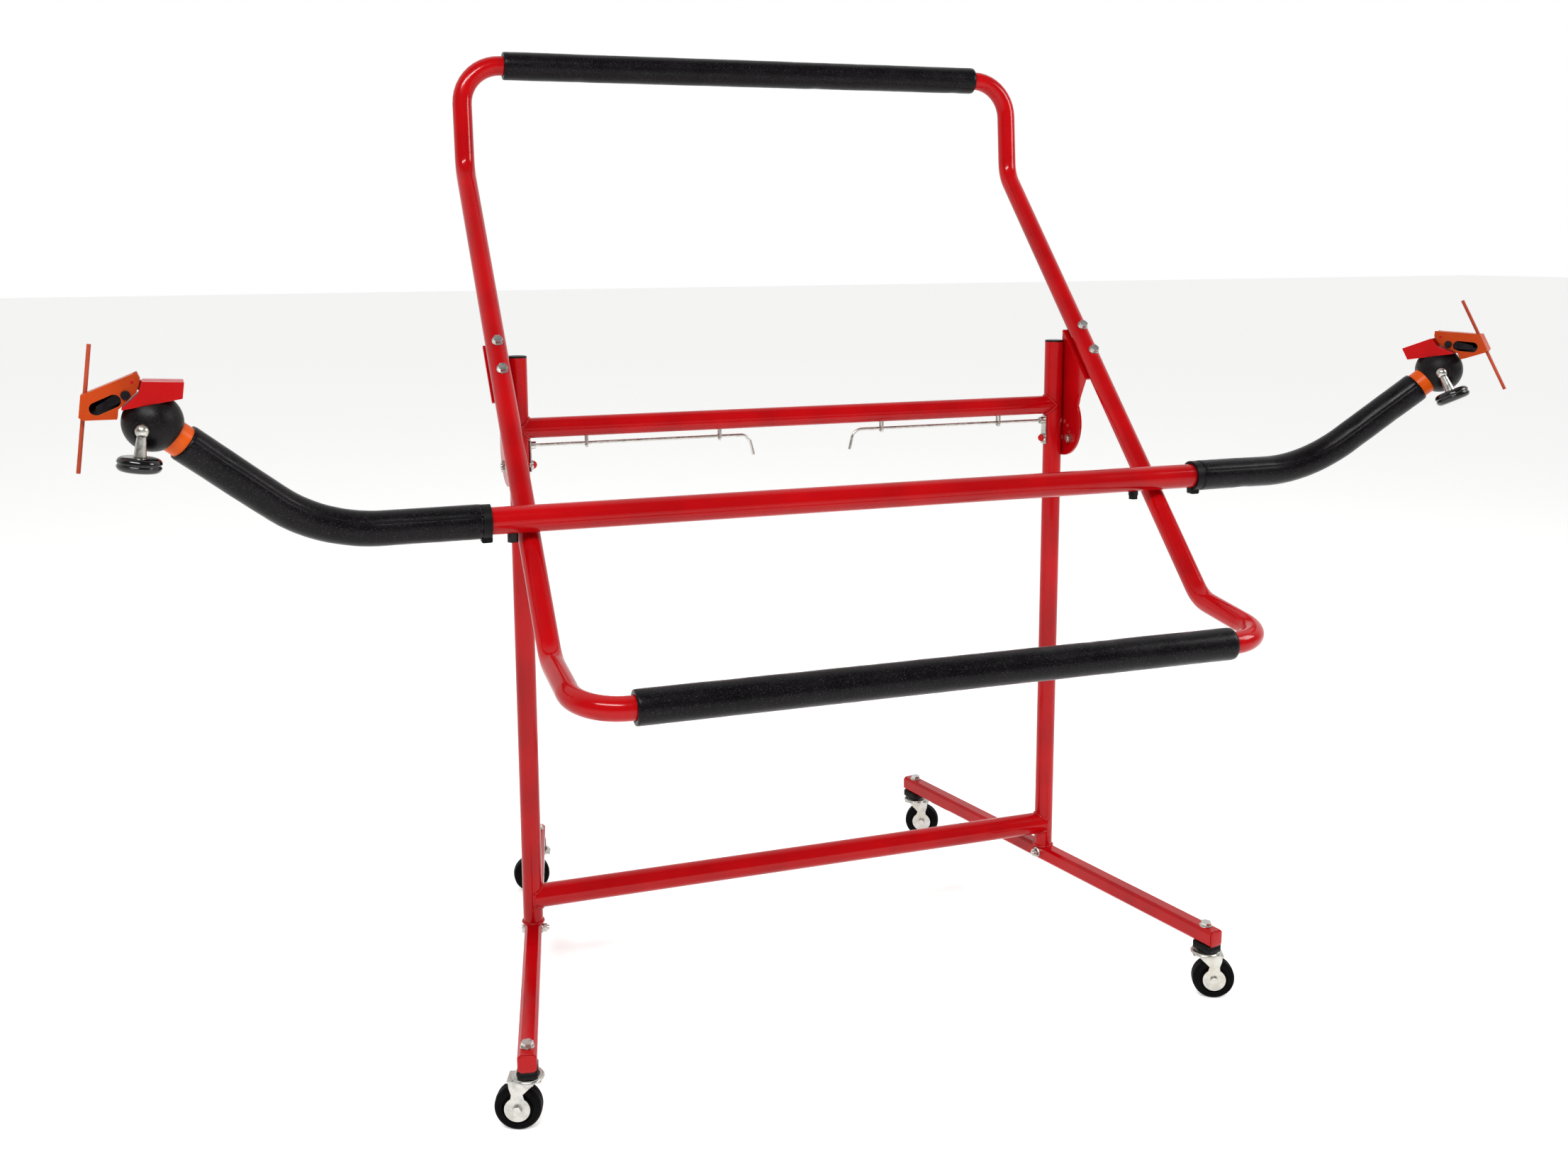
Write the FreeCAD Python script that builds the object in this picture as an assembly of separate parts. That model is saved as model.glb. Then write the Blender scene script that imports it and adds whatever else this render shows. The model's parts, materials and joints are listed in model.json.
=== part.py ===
# Wheeled tilting bumper stand: a red tube base on four casters, a padded frame that tilts on two
# side plates, and two telescoping arms that end in edge clamps. Millimetres, +Z up, front is -Y.
import FreeCAD
import Part
import math
import os

V = FreeCAD.Vector

# ---- driving dimensions: base ----
tube_diameter = 31.8          # uprights, upper crossbar, hoops and arms
tube_wall = 1.8
upright_spacing = 940.0       # between upright centre lines
upright_above_bar = 110.0     # upright above the upper crossbar's centre line
lower_bar_rise = 41.0         # lower crossbar's centre line above the legs
lower_bar_extra = 6.2         # it is this much thicker than the uprights
rod_hang = 11.1               # lock rods hang this far under the upper crossbar
cap_sheet = 3.0
leg_size = 27.0               # square section of the legs
leg_corner = 4.5              # flat across each corner of the section
leg_wall = 2.0
leg_splay_deg = 11.6          # the legs toe out at the front and in at the back
leg_reach = 392.0             # from the upright to each caster stem
leg_overhang = 22.0           # leg beyond the stem
socket_height = 22.0          # stub on the leg under each upright
spigot_height = 60.0          # part of the stub inside the upright
spigot_gap = 0.2

# ---- driving dimensions: casters ----
wheel_diameter = 66.0
wheel_width = 22.0
caster_trail = 14.0
caster_plate_gap = 6.0        # between the wheel and the top of the fork
fork_sheet = 2.4
fork_disc_radius = 18.0
wheel_dish_radius = 22.0      # shallow dish in each face of the wheel, round its hub
wheel_dish_depth = 3.0
hub_radius = 11.0
tyre_round = 5.0
caster_socket_height = 12.0
caster_raceway = 4.0
stem_washer = 1.6
stem_diameter = 10.0
axle_diameter = 8.0
side_gap = 1.2                # between the wheel and each cheek of the fork
caster_swivel_deg = {"front_left": 160.0, "front_right": -25.0,
                     "rear_left": 175.0, "rear_right": -30.0}

# ---- driving dimensions: tilting frame ----
lean_deg = 44.0               # lean of the frame from upright at rest
pivot_height = 870.0
side_tube_offset = 146.0      # side tube centre line in front of the pivot
hoop_top = 505.0              # kinks, measured along the side tube from the pivot's foot
hoop_bottom = 425.0
hoop_kink_deg = 39.0
hoop_kink_radius = 60.0
hoop_return = 172.0           # from a kink to the padded bar
hoop_corner_radius = 65.0
pad_wall = 7.1                # foam around the tube
pad_end_gap = 5.0             # bare tube between a pad and the corner bend
sleeve_gap = 0.1              # around a tube, under foam or a sleeve
mid_bar_place = 220.0         # below the pivot's foot, along the side tube
mid_bar_wall = 2.0
arm_gap = 1.15                # around an arm inside the mid bar
mid_bar_overhang = 65.0       # mid bar beyond each side tube
saddle_depth = 0.9            # how far the hoops are notched to seat the mid bar

# ---- driving dimensions: tilt lock ----
plate_sheet = 4.0
plate_gap = 1.0               # between upright and plate
plate_lobe_radius = 58.0
plate_lobe_offset = (-5.0, 27.0)
flange_low = 26.0
flange_high = 136.0
flange_width = 34.2
flange_sheet = 3.5
plate_bolt_places = (62.0, 117.0)
lock_radius = 31.0
lock_pitch_deg = 22.0
lock_rod_diameter = 5.0
lock_hole_gap = 1.0
rod_rest_gap = 2.0            # from the rod's tip to the upright's outer face
rod_handle_place = 93.0       # from the middle of the stand
rod_handle_drop = 33.0
rod_handle_slant = 8.0
rod_handle_bend = 18.0
rod_guide_inset = 107.0       # outer guide from the upright
rod_guide_from_handle = 50.0
pivot_bolt_diameter = 10.0
pivot_head_radius = 8.0
pivot_cap_radius = 6.5
running_gap = 0.05            # radial, on shafts that turn
bolt_diameter = 8.0
bolt_flats = 13.0             # across the hexagons
bolt_head = 5.3
nut_height = 6.8
washer_diameter = 17.0
washer_sheet = 1.6
washer_bite = 0.6             # a plate bolt's washer dips this far beside the round tube
stem_flats = 15.0
stem_head = 5.4
stem_washer_radius = 10.0
clamp_screw_shift = {-1.0: 26.0, 1.0: 49.0}    # to the left of each side tube

# ---- driving dimensions: arms and clamp heads ----
arm_foam_wall = 8.1
arm_foam_gap = 5.0            # from the mid bar's end to the foam
arm_insertion = 230.0         # arm tube inside, measured from the foam
arm_straight = 130.0          # foam covered, before the bend
arm_bend_radius = 200.0
arm_bend_deg = 43.0
arm_end_straight = 140.0
arm_forward_deg = 25.0        # the bent arm leans forward of upright
sleeve_length = 17.0
sleeve_wall = 5.1
sleeve_cap = 5.0
swivel_pin_diameter = 16.0
swivel_pin_length = 24.0
block_radius = 36.0
block_neck = 27.0             # from the block's centre to its flat face on the sleeve
head_yaw_deg = {"left": 3.0, "right": 58.0}    # how the heads happen to be turned
head_roll_deg = {"left": 8.0, "right": 27.0}    # and tipped up
cover_slope_deg = 17.0        # seat of the cover on the block, falling towards the jaw
cover_seat = 24.4             # height of that seat over the block's centre
cover_half_width = 25.0
cover_back = 31.0
cover_nose = 38.0
jaw_half_width = 12.0
jaw_sheet = 3.0
jaw_length = 82.0
jaw_tip = 9.0                 # solid end of the jaw, bored for the cross rod
jaw_pin = (27.0, 47.0)        # places in a head: outwards and up from the block's centre
lever_pin = (33.0, 31.0)
tongue_radius = 5.5
hinge_pin_radius = 2.5
lever_head_radius = 5.5
cross_rod_diameter = 5.0
cross_rod_length = 156.0
cross_rod_centre = 9.0
stud_place = (11.0, 35.0)      # outwards, and towards the front
stud_ball_radius = 8.5
stud_ball_height = -8.0
stud_foot = -39.0
stud_shank_diameter = 10.0
knob_radius = 26.0
knob_height = 18.0
clearance = 0.3               # between pieces that move past each other

# ---- places worked out from the driving dimensions ----
tube_radius = tube_diameter / 2
half_upright = upright_spacing / 2
leg_bottom = (wheel_diameter + caster_plate_gap + fork_sheet + caster_raceway + stem_washer
              + caster_socket_height)
leg_top = leg_bottom + leg_size
upright_bottom = leg_top + socket_height
lean = math.radians(lean_deg)
splay = math.radians(leg_splay_deg)
plate_inner = half_upright + tube_radius + plate_gap
plate_outer = plate_inner + plate_sheet
half_side = plate_inner + flange_width / 2        # side tubes stand over their flanges
lock_height = pivot_height + lock_radius
lower_bar_height = leg_top + lower_bar_rise
lower_bar_diameter = tube_diameter + lower_bar_extra
upper_bar_height = lock_height + rod_hang + tube_radius
upright_top = upper_bar_height + upright_above_bar
pad_diameter = tube_diameter + 2 * pad_wall
pad_half_length = half_side - hoop_corner_radius - pad_end_gap
mid_bar_diameter = tube_diameter + 2 * (arm_gap + mid_bar_wall)
mid_bar_half = half_side + mid_bar_overhang
foam_diameter = tube_diameter + 2 * arm_foam_wall
foam_start = mid_bar_half + arm_foam_gap
sleeve_diameter = tube_diameter + 2 * sleeve_wall
rod_guide_places = (half_upright - rod_guide_inset, rod_handle_place + rod_guide_from_handle)
bolt_radius = bolt_diameter / 2
washer_radius = washer_diameter / 2
sides = {"left": -1.0, "right": 1.0}
parts = {}


def tilt_point(x, along, out):
    """Point on the tilting frame: along its side tubes from the pivot's foot, and out in front."""
    y = along * math.sin(lean) - out * math.cos(lean)
    z = along * math.cos(lean) + out * math.sin(lean)
    return V(x, y, pivot_height + z)


along_dir = V(0, math.sin(lean), math.cos(lean))
out_dir = V(0, -math.cos(lean), math.sin(lean))


def rod(start, end, radius):
    span = end - start
    return Part.makeCylinder(radius, span.Length, start, span)


def ring(start, end, outer, inner):
    return rod(start, end, outer).cut(rod(start, end, inner))


def hexagon(start, end, across_flats):
    """Hexagonal prism between two points."""
    span = end - start
    radius = across_flats / math.sqrt(3)
    corners = [V(radius * math.cos(a), radius * math.sin(a), 0)
               for a in [math.radians(60 * i) for i in range(7)]]
    prism = Part.Face(Part.makePolygon(corners)).extrude(V(0, 0, span.Length))
    prism.Placement = FreeCAD.Placement(start, FreeCAD.Rotation(V(0, 0, 1), span))
    return prism


def rounded_wire(points, radii):
    """Straight runs joined by tangent arcs, one radius for each inner point."""
    edges = []
    last = points[0]
    for i, radius in enumerate(radii, start=1):
        before = (points[i - 1] - points[i]).normalize()
        after = (points[i + 1] - points[i]).normalize()
        half = before.getAngle(after) / 2
        back = radius / math.tan(half)
        first = points[i] + before * back
        second = points[i] + after * back
        middle_dir = (before + after).normalize()
        middle = points[i] + middle_dir * (radius / math.sin(half) - radius)
        edges.append(Part.LineSegment(last, first).toShape())
        edges.append(Part.Arc(first, middle, second).toShape())
        last = second
    edges.append(Part.LineSegment(last, points[-1]).toShape())
    return Part.Wire(edges)


def bar_along(points, radii, radius):
    """Round bar swept along a rounded path."""
    path = rounded_wire(points, radii)
    start_dir = points[1] - points[0]
    circle = Part.Wire(Part.makeCircle(radius, points[0], start_dir))
    sweep = Part.BRepOffsetAPI.MakePipeShell(path)
    sweep.add(circle)
    sweep.build()
    sweep.makeSolid()
    return sweep.shape()


def tube_along(points, radii, outer, inner):
    return bar_along(points, radii, outer).cut(bar_along(points, radii, inner))


def prism_x(outline, x_from, x_to):
    """Face given by (y, z) corners, extruded from one x to another."""
    corners = [V(x_from, y, z) for y, z in outline + outline[:1]]
    return Part.Face(Part.makePolygon(corners)).extrude(V(x_to - x_from, 0, 0))


def cut_all(shape, tools):
    for tool in tools:
        shape = shape.cut(tool)
    return shape


# ---- base: uprights, crossbars, legs ----
def lock_passage(s):
    """Cross hole through an upright for its lock rod."""
    radius = lock_rod_diameter / 2 + lock_hole_gap
    return rod(V(s * (half_upright - 40), 0, lock_height), V(s * (half_upright + 40), 0, lock_height), radius)


def pivot_passage(s, radius):
    return rod(V(s * (half_upright - 40), 0, pivot_height), V(s * (half_upright + 60), 0, pivot_height), radius)


def upright(s):
    x = s * half_upright
    tube = ring(V(x, 0, upright_bottom), V(x, 0, upright_top), tube_radius, tube_radius - tube_wall)
    return cut_all(tube, [lock_passage(s), pivot_passage(s, pivot_bolt_diameter / 2)])


def cap(s):
    x = s * half_upright
    lip = rod(V(x, 0, upright_top), V(x, 0, upright_top + cap_sheet), tube_radius)
    lip = lip.makeFillet(1.5, [lip.Edges[0]])
    plug_radius = tube_radius - tube_wall - sleeve_gap
    return lip.fuse(rod(V(x, 0, upright_top - 14), V(x, 0, upright_top), plug_radius)).removeSplitter()


def crossbar(height, radius):
    """Tube between the uprights, with its ends shaped to their round walls."""
    start = V(-half_upright, 0, height)
    end = V(half_upright, 0, height)
    tube = ring(start, end, radius, radius - tube_wall)
    walls = [rod(V(s * half_upright, 0, height - 40), V(s * half_upright, 0, height + 40), tube_radius)
             for s in sides.values()]
    return cut_all(tube, walls)


def leg_frame(s):
    """Unit vector along a leg, pointing forwards and out."""
    return V(s * math.sin(splay), -math.cos(splay), 0)


def leg_section(size, corner):
    half = size / 2
    inset = half - corner
    ring_points = [(half, -inset), (half, inset), (inset, half), (-inset, half),
                   (-half, inset), (-half, -inset), (-inset, -half), (inset, -half)]
    return [V(0, a, b) for a, b in ring_points + ring_points[:1]]


def stem_place(s, forward):
    """Centre of a caster stem at the leg's underside."""
    return V(s * half_upright, 0, leg_bottom) + leg_frame(s) * (forward * leg_reach)


def leg(s):
    """Square tube with closed ends, on a slant across the upright's foot."""
    length = 2 * (leg_reach + leg_overhang)
    body = Part.Face(Part.makePolygon(leg_section(leg_size, leg_corner))).extrude(V(length, 0, 0))
    inner_size = leg_size - 2 * leg_wall
    hollow = Part.Face(Part.makePolygon(leg_section(inner_size, leg_corner - leg_wall / 2)))
    hollow = hollow.extrude(V(length - 2 * leg_wall, 0, 0))
    hollow.translate(V(leg_wall, 0, 0))
    body = body.cut(hollow)
    body.translate(V(-length / 2, 0, 0))
    place = V(s * half_upright, 0, leg_bottom + leg_size / 2)
    body.Placement = FreeCAD.Placement(place, FreeCAD.Rotation(V(1, 0, 0), leg_frame(s))).multiply(body.Placement)
    holes = [rod(stem_place(s, f) - V(0, 0, 5), stem_place(s, f) + V(0, 0, leg_size + 5), stem_diameter / 2)
             for f in (1, -1)]
    holes.append(foot_bolt_hole(s))
    return cut_all(body, holes)


def foot_bolt_line(s, reach):
    """Point on the foot bolt's axis: it crosses the leg under the upright."""
    side = V(math.cos(splay), s * math.sin(splay), 0) * s
    return V(s * half_upright, 0, leg_bottom + leg_size / 2) + side * reach


def foot_bolt_hole(s):
    return rod(foot_bolt_line(s, -leg_size), foot_bolt_line(s, leg_size), bolt_radius)


def foot_socket(s):
    x = s * half_upright
    stub = rod(V(x, 0, leg_top), V(x, 0, upright_bottom), tube_radius)
    spigot = rod(V(x, 0, upright_bottom), V(x, 0, upright_bottom + spigot_height),
                 tube_radius - tube_wall - spigot_gap)
    bore = rod(V(x, 0, leg_top), V(x, 0, upright_bottom + spigot_height), tube_radius - 2 * tube_wall - 2)
    return stub.fuse(spigot).cut(bore).removeSplitter()


def caster_socket(s, forward):
    """Black bush between the leg and the caster, around the stem."""
    top = stem_place(s, forward)
    bush = rod(top - V(0, 0, caster_socket_height), top, 14.0)
    bush = bush.makeChamfer(1.5, [bush.Edges[0], bush.Edges[2]])
    return bush.cut(rod(top - V(0, 0, caster_socket_height), top, stem_diameter / 2))


def stem_bolt(s, forward):
    """Hex bolt down through the leg end; its shank is the caster's swivel stem."""
    under = stem_place(s, forward)
    seat = leg_size + washer_sheet
    head = hexagon(under + V(0, 0, seat), under + V(0, 0, seat + stem_head), stem_flats)
    washer = rod(under + V(0, 0, leg_size), under + V(0, 0, seat), stem_washer_radius)
    deck_low = caster_socket_height + stem_washer + caster_raceway + fork_sheet
    shank = rod(under - V(0, 0, deck_low + 1), under + V(0, 0, leg_size), stem_diameter / 2)
    flare = rod(under - V(0, 0, deck_low + 2.5), under - V(0, 0, deck_low + 0.4), stem_diameter * 0.75)
    return head.fuse(washer).fuse(shank).fuse(flare).removeSplitter()


def foot_bolt(s):
    outer = leg_size / 2
    head = hexagon(foot_bolt_line(s, outer + bolt_head), foot_bolt_line(s, outer), bolt_flats)
    shank = rod(foot_bolt_line(s, outer), foot_bolt_line(s, -outer - 12), bolt_radius)
    return head.fuse(shank).removeSplitter()


def foot_nut(s):
    outer = leg_size / 2
    nut_seat = outer + washer_sheet
    nut = hexagon(foot_bolt_line(s, -nut_seat), foot_bolt_line(s, -nut_seat - nut_height), bolt_flats)
    washer = rod(foot_bolt_line(s, -outer), foot_bolt_line(s, -nut_seat), washer_radius)
    return nut.fuse(washer).cut(foot_bolt_hole(s)).removeSplitter()


parts["upright_left"] = upright(-1)
parts["upright_right"] = upright(1)
parts["upright_caps"] = Part.makeCompound([cap(s) for s in (-1, 1)])
parts["upper_crossbar"] = crossbar(upper_bar_height, tube_radius)
parts["lower_crossbar"] = crossbar(lower_bar_height, lower_bar_diameter / 2)
parts["leg_left"] = leg(-1)
parts["leg_right"] = leg(1)
parts["foot_sockets"] = Part.makeCompound([foot_socket(s) for s in (-1, 1)])
parts["foot_nuts"] = Part.makeCompound([foot_nut(s) for s in (-1, 1)])
corners = [(s, f) for s in (-1, 1) for f in (1, -1)]
parts["caster_sockets"] = Part.makeCompound([caster_socket(s, f) for s, f in corners])
base_bolts = [stem_bolt(s, f) for s, f in corners] + [foot_bolt(s) for s in (-1, 1)]
parts["base_bolts"] = Part.makeCompound(base_bolts)


# ---- casters ----
def caster(name, s, forward):
    """Fork, axle and wheel, built trailing along +X and then swivelled about the stem."""
    stem = stem_place(s, forward)
    fork_top = wheel_diameter + caster_plate_gap + fork_sheet
    hub = V(caster_trail, 0, wheel_diameter / 2)
    cheek_inner = wheel_width / 2 + side_gap
    cheek_outer = cheek_inner + fork_sheet
    deck = Part.makeBox(48, 2 * cheek_outer, fork_sheet, V(-20, -cheek_outer, fork_top - fork_sheet))
    raceway = rod(V(0, 0, fork_top), V(0, 0, fork_top + caster_raceway), 21.0)
    fork = deck.fuse(raceway)
    neck = [(-14, fork_top), (26, fork_top), (25, fork_top - 10), (caster_trail + 8, hub.z + 22),
            (caster_trail + 10, hub.z + 8), (caster_trail - 12, hub.z + 8), (caster_trail - 8, hub.z + 22)]
    for side in (-1, 1):
        y = cheek_inner if side > 0 else -cheek_outer
        outline = [V(x, y, z) for x, z in neck + neck[:1]]
        cheek = Part.Face(Part.makePolygon(outline)).extrude(V(0, fork_sheet, 0))
        disc = Part.makeCylinder(fork_disc_radius, fork_sheet, V(hub.x, y, hub.z), V(0, 1, 0))
        fork = fork.fuse(cheek).fuse(disc)
        ear = Part.makeBox(12, 9, 3.0, V(-4 * side - 6, cheek_outer - 2 if side > 0 else -cheek_outer - 7,
                                          fork_top - fork_sheet))
        fork = fork.fuse(ear)
    fork = fork.cut(rod(V(hub.x, -30, hub.z), V(hub.x, 30, hub.z), axle_diameter / 2))
    fork = fork.cut(rod(V(0, 0, fork_top - 10), V(0, 0, fork_top + 10), stem_diameter / 2 + running_gap))
    fork = fork.removeSplitter()
    axle = rod(V(hub.x, -cheek_outer, hub.z), V(hub.x, cheek_outer, hub.z), axle_diameter / 2)
    axle = axle.fuse(rod(V(hub.x, -cheek_outer - 4, hub.z), V(hub.x, -cheek_outer, hub.z), 6.0))
    axle = axle.fuse(hexagon(V(hub.x, cheek_outer, hub.z), V(hub.x, cheek_outer + 5, hub.z), 12.0))
    axle = axle.removeSplitter()
    wheel = Part.makeCylinder(wheel_diameter / 2, wheel_width, V(hub.x, -wheel_width / 2, hub.z), V(0, 1, 0))
    wheel = wheel.makeFillet(tyre_round, [e for e in wheel.Edges if e.Closed])
    for side in (-1, 1):
        y = side * wheel_width / 2
        dish = rod(V(hub.x, y, hub.z), V(hub.x, y - side * wheel_dish_depth, hub.z), wheel_dish_radius)
        hub_boss = rod(V(hub.x, y, hub.z), V(hub.x, y - side * wheel_dish_depth, hub.z), hub_radius)
        wheel = wheel.cut(dish.cut(hub_boss))
    wheel = wheel.cut(rod(V(hub.x, -30, hub.z), V(hub.x, 30, hub.z), axle_diameter / 2 + running_gap))
    pieces = {"caster_fork_" + name: fork, "caster_axle_" + name: axle, "caster_wheel_" + name: wheel}
    turn = FreeCAD.Rotation(V(0, 0, 1), caster_swivel_deg[name])
    for key, shape in pieces.items():
        shape.Placement = FreeCAD.Placement(V(stem.x, stem.y, 0), turn).multiply(shape.Placement)
        parts[key] = shape


for side_name, s in sides.items():
    caster("front_" + side_name, s, 1)
    caster("rear_" + side_name, s, -1)


# ---- tilt lock: pivots, rods and their guides ----
def pivot_bolt(s):
    """Bolt through the upright; the side plate turns on its outer end."""
    inner_face = half_upright - tube_radius - 2.0
    head = rod(V(s * inner_face, 0, pivot_height), V(s * (inner_face - 3), 0, pivot_height), pivot_head_radius)
    end = plate_outer + clearance
    shank = rod(V(s * inner_face, 0, pivot_height), V(s * (end + 8), 0, pivot_height), pivot_bolt_diameter / 2)
    nut = hexagon(V(s * end, 0, pivot_height), V(s * (end + 7), 0, pivot_height), 16.0)
    return head.fuse(shank).fuse(nut).removeSplitter()


def pivot_cap(s):
    """Domed cover on the pivot bolt's head."""
    face = half_upright - tube_radius - 5.0
    dome = Part.makeSphere(pivot_cap_radius, V(s * face, 0, pivot_height))
    half = Part.makeBox(20, 20, 20, V(s * face - (20 if s > 0 else 0), -10, pivot_height - 10))
    return dome.common(half)


def rod_tab(s):
    """Strap under the pivot bolt's head, with the eye that steadies the lock rod."""
    face = s * (half_upright - tube_radius)
    outline = [(-8, pivot_height - 10), (8, pivot_height - 10), (7, lock_height + 8), (-7, lock_height + 8)]
    strap = prism_x(outline, face, face - s * 2.0)
    eye_radius = lock_rod_diameter / 2 + lock_hole_gap
    eye = rod(V(face - s * 2, 0, lock_height), V(face - s * 10, 0, lock_height), eye_radius + 2.5)
    strap = strap.fuse(eye)
    strap = strap.cut(rod(V(face + s, 0, lock_height), V(face - s * 12, 0, lock_height), eye_radius))
    return strap.cut(pivot_passage(s, pivot_bolt_diameter / 2)).removeSplitter()


def rod_guide(x):
    """Wire loop hung from the upper crossbar around a lock rod."""
    wire = 1.8
    reach = lock_rod_diameter / 2 + lock_hole_gap + wire
    top = upper_bar_height - tube_radius + 3.0
    low = lock_height - reach
    points = [V(x, -reach, top), V(x, -reach, low), V(x, reach, low), V(x, reach, top)]
    hook = bar_along(points, [3.0, 3.0], wire)
    start = V(x - 10, 0, upper_bar_height)
    return hook.cut(rod(start, start + V(20, 0, 0), tube_radius))


def lock_rod(s):
    """Round rod with a bent handle; its tip sits inside the upright, short of the side plate."""
    tip = half_upright + tube_radius - rod_rest_gap
    points = [V(s * tip, 0, lock_height), V(s * rod_handle_place, 0, lock_height),
              V(s * (rod_handle_place - rod_handle_slant), 0, lock_height - rod_handle_drop)]
    return bar_along(points, [rod_handle_bend], lock_rod_diameter / 2)


guides = [rod_guide(s * place) for s in (-1, 1) for place in rod_guide_places]
parts["rod_guides"] = Part.makeCompound(guides + [rod_tab(s) for s in (-1, 1)])
parts["pivot_bolts"] = Part.makeCompound([pivot_bolt(s) for s in (-1, 1)])
parts["pivot_caps"] = Part.makeCompound([pivot_cap(s) for s in (-1, 1)])
parts["lock_rod_left"] = lock_rod(-1)
parts["lock_rod_right"] = lock_rod(1)


# ---- tilting frame: two bent hoops, mid bar, pads, side plates ----
def hoop(end_place, direction):
    """Half of the padded loop, from the mid bar round to the mid bar on the other side."""
    kink = math.radians(hoop_kink_deg)
    bar_along_place = direction * (end_place + hoop_return * math.cos(kink))
    bar_out = side_tube_offset + hoop_return * math.sin(kink)
    points = []
    for s in (-1, 1):
        leg_points = [tilt_point(s * half_side, -mid_bar_place, side_tube_offset),
                      tilt_point(s * half_side, direction * end_place, side_tube_offset),
                      tilt_point(s * half_side, bar_along_place, bar_out)]
        points += leg_points if s < 0 else leg_points[::-1]
    radii = [hoop_kink_radius, hoop_corner_radius, hoop_corner_radius, hoop_kink_radius]
    shape = tube_along(points, radii, tube_radius, tube_radius - tube_wall)
    return shape.cut(mid_bar_solid())


def mid_bar_axis(x):
    out = side_tube_offset + tube_radius + mid_bar_diameter / 2 - saddle_depth
    return tilt_point(x, -mid_bar_place, out)


def mid_bar_solid():
    return rod(mid_bar_axis(-mid_bar_half), mid_bar_axis(mid_bar_half), mid_bar_diameter / 2)


def plate_bolt_line(s, place, out):
    return tilt_point(s * half_side, place, side_tube_offset + out)


def plate_bolt_holes():
    return [rod(plate_bolt_line(s, place, -40), plate_bolt_line(s, place, 40), bolt_radius)
            for s in (-1, 1) for place in plate_bolt_places]


def pad(direction, end_place):
    kink = math.radians(hoop_kink_deg)
    place = direction * (end_place + hoop_return * math.cos(kink))
    out = side_tube_offset + hoop_return * math.sin(kink)
    return ring(tilt_point(-pad_half_length, place, out), tilt_point(pad_half_length, place, out),
                pad_diameter / 2, tube_radius + sleeve_gap)


def lock_hole(x, turn_deg, radius):
    """Hole on the lock circle, turned forwards from straight above the pivot."""
    angle = math.radians(turn_deg)
    y = -lock_radius * math.sin(angle)
    z = pivot_height + lock_radius * math.cos(angle)
    return rod(V(x - 30, y, z), V(x + 30, y, z), radius)


def side_plate(s):
    """Pressed plate: a round lobe on the pivot, and a flange bolted behind the side tube."""
    lobe_y, lobe_z = plate_lobe_offset
    x = s * plate_inner
    lobe_centre = V(x, lobe_y, pivot_height + lobe_z)
    plate = rod(lobe_centre, lobe_centre + V(s * plate_sheet, 0, 0), plate_lobe_radius)
    flange_out = side_tube_offset - tube_radius - sleeve_gap
    top = tilt_point(0, flange_high, flange_out)
    low = tilt_point(0, flange_low, flange_out)
    waist = lobe_z + pivot_height + 48
    neck = [(top.y, top.z), (low.y, low.z), (lobe_y - 53, waist), (lobe_y - 45, waist - 25),
            (lobe_y + 45, waist - 35), (lobe_y + 14, waist + 6)]
    plate = plate.fuse(prism_x(neck, x, x + s * plate_sheet))
    flange = Part.makeBox(flange_width, flange_sheet, flange_high - flange_low)
    flange = flange.makeFillet(1.2, [e for e in flange.Edges if abs(e.Length - flange_sheet) < 0.01])
    corner_x = plate_inner if s > 0 else -plate_inner - flange_width
    turn = FreeCAD.Rotation(V(1, 0, 0), -lean_deg)
    flange.Placement = FreeCAD.Placement(tilt_point(corner_x, flange_low, flange_out), turn)
    plate = plate.fuse(flange).removeSplitter()
    holes = [lock_hole(x, step * lock_pitch_deg, lock_rod_diameter / 2 + lock_hole_gap)
             for step in (-2, -1, 0, 1, 2, 3)]
    holes.append(lock_hole(x, 4 * lock_pitch_deg, bolt_radius))
    holes.append(pivot_passage(s, pivot_bolt_diameter / 2 + running_gap))
    return cut_all(plate, holes + plate_bolt_holes())


def plate_bolt(s, place):
    face = plate_bolt_line(s, place, tube_radius)
    seat = tube_radius + washer_sheet
    washer = rod(plate_bolt_line(s, place, tube_radius - washer_bite), plate_bolt_line(s, place, seat), washer_radius)
    head = hexagon(plate_bolt_line(s, place, seat), plate_bolt_line(s, place, seat + bolt_head), bolt_flats)
    back = -tube_radius - sleeve_gap - flange_sheet
    shank = rod(plate_bolt_line(s, place, back - washer_sheet - nut_height - 2.6), face, bolt_radius)
    side_tube = rod(tilt_point(s * half_side, place - 20, side_tube_offset),
                    tilt_point(s * half_side, place + 20, side_tube_offset), tube_radius)
    washer = washer.cut(side_tube)
    return washer.fuse(head).fuse(shank).removeSplitter()


def plate_nut(s, place):
    back = -tube_radius - sleeve_gap - flange_sheet
    seat = back - washer_sheet
    nut = hexagon(plate_bolt_line(s, place, seat), plate_bolt_line(s, place, seat - nut_height), bolt_flats)
    washer = rod(plate_bolt_line(s, place, back), plate_bolt_line(s, place, seat), washer_radius)
    bolt = rod(plate_bolt_line(s, place, back - 20), plate_bolt_line(s, place, back + 5), bolt_radius)
    return nut.fuse(washer).cut(bolt).removeSplitter()


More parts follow.
